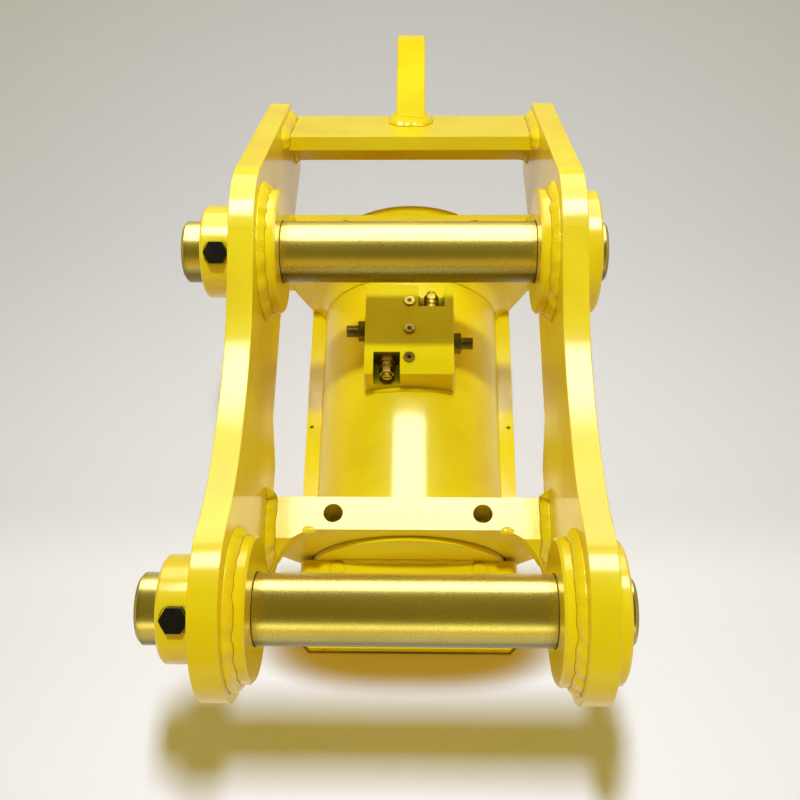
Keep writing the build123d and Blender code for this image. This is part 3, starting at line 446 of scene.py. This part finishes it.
def lump(centre, radii):
    # Squashed ball of weld metal: r(u, v) = 1 + wave * sin(3u + 2v) * sin v, with u round about
    # and v from pole to pole, and a small flat cap on each pole.
    n, rows = blob["around"], blob["up"]
    u = np.linspace(0, 2 * math.pi, n, endpoint=False)[None, :]
    v = np.linspace(blob["capAngle"], math.pi - blob["capAngle"], rows)[:, None]
    r = 1 + blob["wave"] * np.sin(3 * u + 2 * v) * np.sin(v)
    unit = np.stack([r * np.sin(v) * np.cos(u), r * np.sin(v) * np.sin(u), np.cos(v) + 0 * u], -1)
    caps = [list(range(n))[::-1], list(range((rows - 1) * n, rows * n))]
    faces = gridFaces(rows, n, False, True)[:, ::-1].tolist()
    return unit.reshape(-1, 3) * radii + centre, faces + caps


def ringPath(x, y, z, radius, start=0.0, end=360.0, axis="x"):
    # circle or arc round an axis along X or Y, in degrees from +Y or +X towards +Z
    a = np.radians(np.linspace(start, end, 181))
    if axis == "x":
        return np.stack([np.full_like(a, x), y + radius * np.cos(a), z + radius * np.sin(a)], 1)
    return np.stack([x + radius * np.cos(a), np.full_like(a, y), z + radius * np.sin(a)], 1)


def awayFrom(centre, axis):
    # unit vectors that point away from an axis through the centre
    keep = np.array([0.0 if axis == "x" else 1.0, 0.0 if axis == "y" else 1.0, 1.0])

    def outward(pts):
        d = (pts - np.asarray(centre)) * keep
        return d / np.linalg.norm(d, axis=1, keepdims=True)
    return outward


# Places taken from the boxes of the CAD nodes.
plateLow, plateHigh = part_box("side_plate_right")
plateIn, plateOut = plateLow.x, plateHigh.x
nearLow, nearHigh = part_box("near_inner_bosses")
farLow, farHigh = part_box("far_inner_bosses")
pinZ = (nearLow.z + nearHigh.z) / 2
nearPinY, farPinY = (nearLow.y + nearHigh.y) / 2, (farLow.y + farHigh.y) / 2
bossR = (nearHigh.z - nearLow.z) / 2
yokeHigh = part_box("near_yoke")[1]
farYokeLow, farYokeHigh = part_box("far_yoke")
yokeTop = yokeHigh.z
discLow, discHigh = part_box("far_end_disc")
axisZ = (discLow.z + discHigh.z) / 2
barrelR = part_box("barrel")[1].z - axisZ


ringRun = {"bossLeg": 0.0105, "collarLeg": 0.004}


def bossWelds(r):
    # round each inner boss, against the side plate
    rings = []
    for y in (nearPinY, farPinY):
        for side in (1, -1):
            x = side * plateIn
            out = awayFrom((x, y, pinZ), "x")
            ring = ringPath(x, y, pinZ, bossR)
            rings.append(filletBead(ring, out, (-side, 0, 0), r["bossLeg"], True))
    return makePiece("boss_welds", rings, "bracket", "yellow_paint")


def outerWelds(r):
    # round the lock collars on the left and the outer bosses on the right
    rings = []
    for node, y, x in (("near_lock_collar", nearPinY, -plateOut),
                       ("far_lock_collar", farPinY, -plateOut),
                       ("near_outer_boss", nearPinY, plateOut),
                       ("far_outer_boss", farPinY, plateOut)):
        low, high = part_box(node)
        radius = (high.z - low.z) / 2
        out = awayFrom((x, y, pinZ), "x")
        away = (math.copysign(1, x), 0, 0)
        rings.append(filletBead(ringPath(x, y, pinZ, radius), out, away, r["collarLeg"], True))
    return makePiece("collar_welds", rings, "bracket", "yellow_paint")


nearRun = {
    "leg": 0.0115,
    "rearLeg": 0.009,        # bead down the yoke's rear face
    "rearStart": 0.010,      # its start above the plate's lower edge
    "hornTop": 0.037,        # how far the bead climbs the plate above the yoke's rear corner
    "hornFoot": 0.012,       # where the horn turns towards the corner
    "sink": 0.001,           # how far the path lies inside the yoke's rear face
    "soften": 0.003,         # how much the corners of the path are cut
    "climb": 1.35,           # the leg on the plate is longer than the one on the yoke
    "flatEnd": -0.267,       # where the gusset starts to slope, its lowest point and its normal
    "slopeEnd": (-0.300, 0.3073),
    "slopeFacing": (-0.75, 0.66),
    "notch": (0.132, -0.2555, 0.3433),
    "notchLump": (0.0100, 0.0060, 0.0036),
}


def nearYokeWelds(n):
    # One bead a side: down from a pointed horn on the plate, along the yoke's top edge
    # and down the slope of the gusset; a small lump where the gusset meets the yoke's face.
    runs = []
    back, soften, bend = yokeHigh.y - n["sink"], n["soften"], n["flatEnd"]
    up, slope = (0, 0, n["climb"]), (0, *(k * n["climb"] for k in n["slopeFacing"]))
    for side in (1, -1):
        x = side * plateIn
        path = [(x, back, yokeTop + n["hornTop"]),
                (x, yokeHigh.y - soften, yokeTop + n["hornFoot"]), (x, back, yokeTop),
                (x, bend, yokeTop), (x, bend - soften, yokeTop - soften), (x, *n["slopeEnd"])]
        alongPlate = [(0, -0.5, 0), (0, -0.7, 0.5), up, up, slope, slope]
        inward = [(-side * 0.7, 0.2, 0), (-side, 0.1, 0.0)] + [(-side, 0, 0)] * 4
        runs.append(filletBead(path, inward, alongPlate, n["leg"], runOut=2.2))
        rear = [(x, yokeHigh.y, plateLow.z + n["rearStart"]), (x, yokeHigh.y, yokeTop)]
        runs.append(filletBead(rear, (-side, 0, 0), (0, 1, 0), n["rearLeg"]))
        nx, ny, nz = n["notch"]
        runs.append(lump(np.array([side * nx, ny, nz]), n["notchLump"]))
    return makePiece("near_yoke_welds", runs, "bracket", "yellow_paint")


farRun = {
    "topLeg": 0.010,
    "topStart": 0.030,       # start of the top bead behind the yoke's front face
    "rearLeg": 0.009,
    "rearStart": 0.010,
    "barrelLeg": 0.007,
    "barrelArc": (3, 177),   # degrees from +X towards +Z
}


def farYokeWelds(f):
    # along the yoke's top edge and down its rear face on each side, and round the barrel
    # where it leaves the near yoke
    runs = []
    for side in (1, -1):
        x = side * plateIn
        top = [(x, farYokeLow.y + f["topStart"], yokeTop), (x, farYokeHigh.y, yokeTop)]
        runs.append(filletBead(top, (-side, 0, 0), (0, 0, 1), f["topLeg"]))
        rear = [(x, farYokeHigh.y, plateLow.z + f["rearStart"]), (x, farYokeHigh.y, yokeTop)]
        runs.append(filletBead(rear, (-side, 0, 0), (0, 1, 0), f["rearLeg"]))
    around = awayFrom((0, yokeHigh.y, axisZ), "y")
    arc = ringPath(0, yokeHigh.y, axisZ, barrelR, *f["barrelArc"], "y")
    runs.append(filletBead(arc, around, (0, 1, 0), f["barrelLeg"]))
    return makePiece("far_yoke_welds", runs, "bracket", "yellow_paint")


tail = {
    # corners of the tie plate's section in Y and Z, clockwise from its lower front corner
    "front": (0.2916, 0.4525),
    "crest": (0.3029, 0.4691),
    "end": (0.4038, 0.4005),
    "facing": (0.0, 0.562, 0.827),      # directions square to its top and to its front edge
    "ahead": (0.0, -0.827, 0.562),
    "eyeHalf": 0.022,
    "eyeFront": (0.3624, 0.4286),
    "frontShare": 1.3,                  # the bead is broader in front of the eye
    "leg": 0.0115,
    "webLeg": 0.007,
    "webEnds": (0.012, 0.016),          # the web's beads stop short of its lower and upper edge
    "sink": 0.001,
    "soften": (0.003, 0.003, -0.002),   # how much the eye's front corners are cut in X, Y and Z
}


def tailWelds(t):
    # the tie plate and the rear web against the side plates, and the lifting eye on the tie plate
    runs = []
    face, ahead, sink = np.array(t["facing"]), np.array(t["ahead"]), t["sink"]
    webLow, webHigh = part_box("rear_web")
    for side in (1, -1):
        x = side * plateIn
        inward = np.array([-side, 0.0, 0.0])
        crest = np.array([x, *t["crest"]])
        path = [(x, *t["front"]), crest - sink * face, crest - sink * ahead, (x, *t["end"])]
        runs.append(filletBead(path, inward, [ahead, ahead, face, face], t["leg"], runOut=0.5))
        foot, head = webLow.z + t["webEnds"][0], webHigh.z - t["webEnds"][1]
        for y, out in ((webLow.y, -1), (webHigh.y, 1)):
            runs.append(filletBead([(x, y, foot), (x, y, head)], inward, (0, out, 0), t["webLeg"]))
    h = t["eyeHalf"]
    (y, z), (dx, dy, dz) = t["eyeFront"], t["soften"]
    corners = [(-h, *t["end"]), (-h, y + dy, z + dz), (-h + dx, y, z),
               (h - dx, y, z), (h, y + dy, z + dz), (h, *t["end"])]
    left, right = np.array([-1.0, 0, 0]), np.array([1.0, 0, 0])
    front = t["frontShare"] * ahead
    around = [left, left, front, front, right, right]
    runs.append(filletBead(corners, around, face, t["leg"]))
    return makePiece("tail_welds", runs, "bracket", "yellow_paint")


blockRun = {"leg": 0.0042, "frontShare": 1.5}    # broader in front of the block


def blockWeld(b):
    # round the foot of the valve block, where it stands on the barrel
    low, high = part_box("valve_block")
    w = high.x
    xs = np.linspace(-w, w, 33)
    foot = axisZ + np.sqrt(barrelR ** 2 - xs ** 2)
    ys = np.linspace(low.y, high.y, 20)[1:-1]
    side = foot[0]
    path = [(x, low.y, z) for x, z in zip(xs, foot)] + [(w, y, side) for y in ys]
    path += [(x, high.y, z) for x, z in zip(xs[::-1], foot[::-1])]
    path += [(-w, y, side) for y in ys[::-1]] + [(xs[0], low.y, foot[0])]
    slant = math.asin(w / barrelR)
    toRight = (math.cos(slant), 0, -math.sin(slant))
    toLeft = (-math.cos(slant), 0, -math.sin(slant))
    share = b["frontShare"] * np.sqrt(np.clip(1 - (xs / (1.02 * w)) ** 2, 0.02, 1))
    away = [(0, -k, -0.02) for k in share] + [toRight] * len(ys)
    away += [(0, 1, 0)] * len(xs) + [toLeft] * len(ys) + [(0, -share[0], -0.02)]
    ring = filletBead(path, (0, 0, 1), away, b["leg"], True)
    return makePiece("block_weld", [ring], "bracket", "yellow_paint")


baseRun = {
    "footLeg": 0.009,
    "footInset": 0.006,      # the foot bead stops short of the plate's sides
    "ledgeLeg": 0.0055,
    "ledgeHalf": 0.095,
    "plugX": 0.101,
    "plug": (0.0125, 0.0105, 0.0055),
    "plugSink": 0.001,
}


def baseWelds(b):
    # foot and top ledge of the two end plates, and two painted plugs on top of each
    runs = []
    for node, out in (("near_end_plate", -1), ("far_end_plate", 1)):
        low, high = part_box(node)
        y = low.y if out < 0 else high.y
        inner = high.y if out < 0 else low.y
        half, ledge = high.x - b["footInset"], b["ledgeHalf"]
        for path, leg in (([(-half, y, low.z), (half, y, low.z)], b["footLeg"]),
                          ([(-ledge, inner, high.z), (ledge, inner, high.z)], b["ledgeLeg"])):
            runs.append(filletBead(path, (0, out, 0), (0, 0, 1), leg))
        for x in (-b["plugX"], b["plugX"]):
            runs.append(lump(np.array([x, (y + inner) / 2, high.z - b["plugSink"]]), b["plug"]))
    return makePiece("base_welds", runs, "base", "yellow_paint")


bossWelds(ringRun)
outerWelds(ringRun)
nearYokeWelds(nearRun)
farYokeWelds(farRun)
tailWelds(tail)
blockWeld(blockRun)
baseWelds(baseRun)
print("welds laid")


def turnedRing(centre, profile, axis, count):
    # profile points (along, radius) swept once round an axis along X or Z: a closed ring
    profile = np.asarray(profile, float)
    a = np.linspace(0, 2 * math.pi, count, endpoint=False)[:, None]
    along, radius = profile[:, 0][None, :] + 0 * a, profile[:, 1][None, :]
    ca, sa = radius * np.cos(a), radius * np.sin(a)
    order = (along, ca, sa) if axis == "x" else (ca, sa, along)
    return (np.stack(order, -1) + np.asarray(centre)).reshape(-1, 3)


# dark lips that paint the shade in the gaps where the pins leave the bosses and collars
lips = {
    "thick": 0.0010,
    "proud": 0.0007,
    "play": 0.0002,          # between the pin and the lip
    "bossWidth": 0.022,      # how far the inner bosses stand out from the plates
    "around": 96,
}


def gapShadeLips(g):
    # dark ring that paints the shade in the gap where each pin leaves a boss or a collar
    rings = []
    mouth = plateIn - g["bossWidth"]
    for pin, collar, boss in (("near_pin", "near_lock_collar", "near_outer_boss"),
                              ("far_pin", "far_lock_collar", "far_outer_boss")):
        low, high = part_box(pin)
        y, inner = (low.y + high.y) / 2, (high.z - low.z) / 2 + g["play"]
        outer = inner + g["thick"]
        collarFace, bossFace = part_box(collar)[0].x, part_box(boss)[1].x
        for x, out in ((-mouth, 1), (mouth, -1), (collarFace, -1), (bossFace, 1)):
            tip = out * g["proud"]
            section = [(0.0, inner), (tip, inner), (tip, outer), (0.0, outer)][::out]
            faces = gridFaces(g["around"], len(section), True, True).tolist()
            rings.append((turnedRing((x, y, pinZ), section, "x", g["around"]), faces))
    return makePiece("gap_shade_lips", rings, "bracket", "seal_rubber")


sockets = {"radius": 0.0030, "depth": 0.0012}


def socketShades(k):
    # dark disc that paints the shade at the bottom of the hexagon sockets in the block's three
    # screws
    low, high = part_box("block_screws")
    r = high.x
    discs = []
    for y in (low.y + r, (low.y + high.y) / 2, high.y - r):
        a = np.linspace(0, 2 * math.pi, 6, endpoint=False)
        across, along = k["radius"] * np.cos(a), y + k["radius"] * np.sin(a)
        ring = np.stack([across, along, np.full(6, high.z - k["depth"])], 1)
        discs.append((ring, [[0, 1, 2, 3, 4, 5]]))
    return makePiece("socket_shades", discs, "bracket", "black_bolt")


thread = {
    "root": 0.0083,
    "pitch": 0.0020,
    "depth": 0.0009,
    "start": 0.0012,         # from the tip of the stub
    "end": 0.0155,
    "tipBand": 0.0006,       # the vertices this close to the tip give the stub's centre
    "around": 40,
    "perTurn": 10,
}


def threadOver(x0, x1, y, z, t):
    # r = root + depth * (1 - |sin(pi * (x / pitch - angle / turn))|): sharp crests on a helix
    steps = int(abs(x1 - x0) / t["pitch"] * t["perTurn"])
    x = np.linspace(x0, x1, steps)[:, None]
    a = np.linspace(0, 2 * math.pi, t["around"], endpoint=False)[None, :]
    wave = np.abs(np.sin(math.pi * (x / t["pitch"] - a / (2 * math.pi))))
    r = t["root"] + t["depth"] * (1 - wave)
    points = np.stack([x + 0 * a, y + r * np.cos(a), z + r * np.sin(a)], -1).reshape(-1, 3)
    faces = gridFaces(steps, t["around"], False, True)
    if x1 < x0:
        faces = faces[:, ::-1]
    return points, faces.tolist()


def fittingThreads(t):
    # threads of the two hose ends, laid over their plain stubs
    mesh = nodes["hose_fittings"].data
    place = np.empty(len(mesh.vertices) * 3)
    mesh.vertices.foreach_get("co", place)
    place = place.reshape(-1, 3)
    low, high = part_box("hose_fittings")
    parts = []
    for end, out in ((low.x, -1), (high.x, 1)):
        tip = place[np.abs(place[:, 0] - end) < t["tipBand"]]
        y, z = ((tip[:, k].max() + tip[:, k].min()) / 2 for k in (1, 2))
        parts.append(threadOver(end - out * t["end"], end - out * t["start"], y, z, t))
    return makePiece("fitting_threads", parts, "bracket", "fitting_steel")


gapShadeLips(lips)
socketShades(sockets)
fittingThreads(thread)
print("lips, sockets and threads made")


# The floor and the lights of the studio.
paper = {
    # painted light: brightness of the paper at places along Y, whiter in front of the coupler
    "stops": ((-0.60, "#FDFDFF"), (-0.24, "#F3F4F5"), (-0.08, "#E3E5E7"), (0.50, "#DADCE2"),
              (1.30, "#DDE2EC")),
    "halfSize": 8.0,
    # painted light: the paper far outside the picture glows up to the tone of the wall: where
    # the glow starts, is full, and how strong
    "glow": (1.6, 3.6, 0.55),
    "glowColour": (0.86, 0.92, 1.0, 1.0),
    # warm painted shadow close in front of the base: tone, middle in Y, half width and half depth
    "shade": ("#A68200", -0.330, 0.235, 0.072),
    "shadeEdge": (1.45, 0.35, 0.98),    # where it starts, is full, and how strong
    "toothScale": 900.0,     # tooth of about 1 mm
}


def makeFloor(p):
    # Matt studio paper with a faint tooth and painted light: a little greyer towards the back,
    # with a painted shadow in front of the base and a painted glow far outside the picture.
    material, tree = newMaterial("studioPaper")
    place = addNode(tree, "ShaderNodeTexCoord").outputs["Object"]
    split = addNode(tree, "ShaderNodeSeparateXYZ", links={"Vector": place})
    first, last = p["stops"][0][0], p["stops"][-1][0]
    depth = addNode(tree, "ShaderNodeMapRange", {"From Min": first, "From Max": last},
                    {"Value": split.outputs[1]})
    ramp = addNode(tree, "ShaderNodeValToRGB", links={"Fac": depth.outputs[0]})
    ramp.color_ramp.interpolation = "EASE"
    for i, (y, tone) in enumerate(p["stops"]):
        share = (y - first) / (last - first)
        stop = ramp.color_ramp.elements[i] if i < 2 else ramp.color_ramp.elements.new(share)
        stop.position = share
        stop.color = linear(tone)
    # mask of the painted shadow: fades across the line |x / half|^3 + ((y - middle) / deep)^2 = 1
    tone, middle, half, deep = p["shade"]
    across = addNode(tree, "ShaderNodeMath", {1: half}, {0: split.outputs[0]}, operation="DIVIDE")
    width = addNode(tree, "ShaderNodeMath", links={0: across.outputs[0]}, operation="ABSOLUTE")
    cube = addNode(tree, "ShaderNodeMath", {1: 3.0}, {0: width.outputs[0]}, operation="POWER")
    along = addNode(tree, "ShaderNodeMapRange", {"From Min": middle, "From Max": middle + deep},
                    {"Value": split.outputs[1]}, clamp=False)
    height = addNode(tree, "ShaderNodeMath", links={0: along.outputs[0], 1: along.outputs[0]},
                     operation="MULTIPLY")
    reach = addNode(tree, "ShaderNodeMath", links={0: cube.outputs[0], 1: height.outputs[0]},
                    operation="ADD")
    start, full, most = p["shadeEdge"]
    mask = addNode(tree, "ShaderNodeMapRange",
                   {"From Min": start, "From Max": full, "To Max": most},
                   {"Value": reach.outputs[0]}, interpolation_type="SMOOTHSTEP")
    shaded = addNode(tree, "ShaderNodeMix", {7: linear(tone)},
                     {0: mask.outputs[0], 6: ramp.outputs[0]}, data_type="RGBA")
    grain = addNode(tree, "ShaderNodeTexNoise", {"Scale": p["toothScale"], "Detail": 2.0},
                    {"Vector": place})
    bump = addNode(tree, "ShaderNodeBump", {"Strength": 0.05, "Distance": 0.0002},
                   {"Height": grain.outputs[0]})
    # painted glow: the emission grows with the distance from the middle of the floor
    level = addNode(tree, "ShaderNodeVectorMath", links={0: place}, operation="LENGTH")
    start, full, most = p["glow"]
    glow = addNode(tree, "ShaderNodeMapRange",
                   {"From Min": start, "From Max": full, "To Max": most},
                   {"Value": level.outputs["Value"]}, interpolation_type="SMOOTHSTEP")
    shader = addNode(tree, "ShaderNodeBsdfPrincipled",
                     {"Roughness": 0.7, "Specular IOR Level": 0.1,
                      "Emission Color": p["glowColour"]},
                     {"Base Color": shaded.outputs[2], "Normal": bump.outputs[0],
                      "Emission Strength": glow.outputs[0]})
    addNode(tree, "ShaderNodeOutputMaterial", links={"Surface": shader.outputs[0]})
    h = p["halfSize"]
    mesh = bpy.data.meshes.new("floor")
    mesh.from_pydata([(-h, -h, 0), (h, -h, 0), (h, h, 0), (-h, h, 0)], [], [(0, 1, 2, 3)])
    mesh.materials.append(material)
    floor = bpy.data.objects.new("floor", mesh)
    bpy.context.scene.collection.objects.link(floor)
    return floor


wall = {"radius": 7.6, "height": 7.0, "tone": "#E4E4E3", "otherTone": "#DADAD8",
        "driftScale": 0.4, "around": 128}


def makeWall(w):
    # A pale round wall that only the camera sees, so that it neither lights nor mirrors.
    material, tree = newMaterial("paleWall")
    place = addNode(tree, "ShaderNodeTexCoord").outputs["Object"]
    drift = addNode(tree, "ShaderNodeTexNoise", {"Scale": w["driftScale"], "Detail": 1.0},
                    {"Vector": place})
    tone = addNode(tree, "ShaderNodeMix", {6: linear(w["tone"]), 7: linear(w["otherTone"])},
                   {0: drift.outputs[0]}, data_type="RGBA")
    shader = addNode(tree, "ShaderNodeEmission", {"Strength": 1.0}, {"Color": tone.outputs[2]})
    addNode(tree, "ShaderNodeOutputMaterial", links={"Surface": shader.outputs[0]})
    edges = [(0.0, w["radius"]), (w["height"], w["radius"])]
    points = turnedRing((0, 0, 0), edges, "z", w["around"])
    mesh = bpy.data.meshes.new("wall")
    mesh.from_pydata(points.tolist(), [], gridFaces(w["around"], len(edges), True, False).tolist())
    mesh.polygons.foreach_set("use_smooth", [True] * len(mesh.polygons))
    mesh.materials.append(material)
    obj = bpy.data.objects.new("wall", mesh)
    for ray in ("diffuse", "glossy", "transmission", "volume_scatter", "shadow"):
        setattr(obj, "visible_" + ray, False)
    bpy.context.scene.collection.objects.link(obj)


# The key light stands far off and nearly overhead, a little behind, and draws the shadows
# on the coupler; a nearer one does the same for the floor alone.
keyLight = {"name": "key", "place": (0.0, 0.65, 8.3), "aim": (0.0, 0.0, 0.2), "size": (0.45, 0.45),
            "power": 445.0, "colour": "#E2F0FA", "glossy": False}
floorLight = {"name": "floorKey", "place": (0.0, -0.17, 2.2), "aim": (0.0, -0.17, 0.0),
              "size": (0.12, 0.24), "power": 47.0, "colour": "#D4DDF4", "glossy": False}
# A small lamp lifts the tail.
tailLight = {"name": "tailLamp", "place": (0.0, 0.80, 1.25), "aim": (0.0, 0.38, 0.42),
             "size": (0.6, 0.3), "power": 2.9, "colour": "#F2FDF6", "glossy": False}
# A soft box over the middle gives the cream sheen on the faces that look up, and a weaker one
# in its place shows on the small plated parts of the valve block.
sheenLight = {"name": "sheen", "place": (0.0, 0.65, 2.2), "aim": (0.0, 0.65, 0.0),
              "size": (1.4, 0.72), "power": 72.0, "colour": "#FFFEF6", "glossy": True}
metalLight = {**sheenLight, "name": "metalSheen", "power": 24.0, "colour": "#FFF0B8"}
# A low panel behind gives the white band along the pins and the rims of bosses and plates,
# one in front the gold band low on the near pin.
bandLight = {"name": "band", "place": (0.0, 0.80, 0.93), "aim": (0.0, 0.70, 0.0),
             "size": (3.0, 1.30), "power": 54.0, "colour": "#FFFFFF", "glossy": True}
frontLight = {"name": "front", "place": (0.0, -2.2, 1.2), "aim": (0.0, -0.4, 0.5),
              "size": (3.0, 0.55), "power": 7.5, "colour": "#F6FFD8", "glossy": True}
# The room itself: bright low down, dark overhead, dimmer on the camera's side, all of it warm.
room = {
    "horizon": (1.0, 0.70, 0.17),
    "overhead": (0.27, 0.225, 0.045),
    "lowEnd": 0.10,          # the change between the two, as the sine of the height
    "highEnd": 0.70,
    "frontShare": 0.86,      # brightness on the camera's side
    "frontEnds": (-0.5, 0.3),
}


def areaLight(l):
    # each light is either seen in the gloss or lights the surfaces, and the camera sees none
    data = bpy.data.lights.new(l["name"], "AREA")
    data.shape = "RECTANGLE"
    data.size, data.size_y = l["size"]
    data.energy = l["power"]
    data.color = linear(l["colour"])[:3]
    light = bpy.data.objects.new(l["name"], data)
    light.location = l["place"]
    way = Vector(l["aim"]) - Vector(l["place"])
    light.rotation_euler = way.to_track_quat("-Z", "Y").to_euler()
    light.visible_glossy = l["glossy"]
    light.visible_diffuse = not l["glossy"]
    light.visible_camera = False
    bpy.context.scene.collection.objects.link(light)
    return light


def chosenObjects(name, members, state):
    # a collection whose members are all taken, or all left out, by the light that uses it
    chosen = bpy.data.collections.new(name)
    for obj in members:
        chosen.objects.link(obj)
    for entry in chosen.collection_objects:
        entry.light_linking.link_state = state
    return chosen


def makeWorld(r):
    world = bpy.data.worlds.new("studio")
    world.use_nodes = True
    tree = world.node_tree
    tree.nodes.clear()
    way = addNode(tree, "ShaderNodeTexCoord").outputs["Generated"]
    split = addNode(tree, "ShaderNodeSeparateXYZ", links={"Vector": way})
    rise = addNode(tree, "ShaderNodeMapRange", {"From Min": r["lowEnd"], "From Max": r["highEnd"]},
                   {"Value": split.outputs[2]}, interpolation_type="SMOOTHSTEP")
    tone = addNode(tree, "ShaderNodeMix", {6: (*r["horizon"], 1.0), 7: (*r["overhead"], 1.0)},
                   {0: rise.outputs[0]}, data_type="RGBA")
    depth = addNode(tree, "ShaderNodeMapRange",
                    {"From Min": r["frontEnds"][0], "From Max": r["frontEnds"][1],
                     "To Min": r["frontShare"]},
                    {"Value": split.outputs[1]})
    back = addNode(tree, "ShaderNodeBackground",
                   links={"Color": tone.outputs[2], "Strength": depth.outputs[0]})
    addNode(tree, "ShaderNodeOutputWorld", links={"Surface": back.outputs[0]})
    bpy.context.scene.world = world


floor = makeFloor(paper)
makeWall(wall)
makeWorld(room)
pins = [nodes["near_pin"], nodes["far_pin"]]
bosses = [nodes["near_inner_bosses"], nodes["far_inner_bosses"]]
rims = bosses + [nodes[n] for n in ("near_lock_collar", "far_lock_collar", "near_outer_boss",
                                    "far_outer_boss", "side_plate_left", "side_plate_right")]
smallMetals = [nodes[n] for n in ("cartridges", "block_screws", "hose_fittings")]
dull = pins + smallMetals + bosses + [nodes["valve_block"]]
casters = [nodes[n] for n in ("near_pin", "near_lock_collar", "near_outer_boss", "lock_bolts",
                              "near_end_plate", "near_end_disc", "base_plate", "foot_pads",
                              "near_yoke")]
for lamp, members, state in ((keyLight, [floor], "EXCLUDE"), (tailLight, [floor], "EXCLUDE"),
                             (floorLight, [floor], "INCLUDE"), (sheenLight, dull, "EXCLUDE"),
                             (bandLight, pins + rims, "INCLUDE"), (frontLight, pins[:1], "INCLUDE"),
                             (metalLight, smallMetals, "INCLUDE")):
    light = areaLight(lamp)
    receivers = chosenObjects(lamp["name"] + "Receivers", members, state)
    light.light_linking.receiver_collection = receivers
    if lamp is floorLight:
        light.light_linking.blocker_collection = chosenObjects("floorCasters", casters, "INCLUDE")
print("floor and lights set")
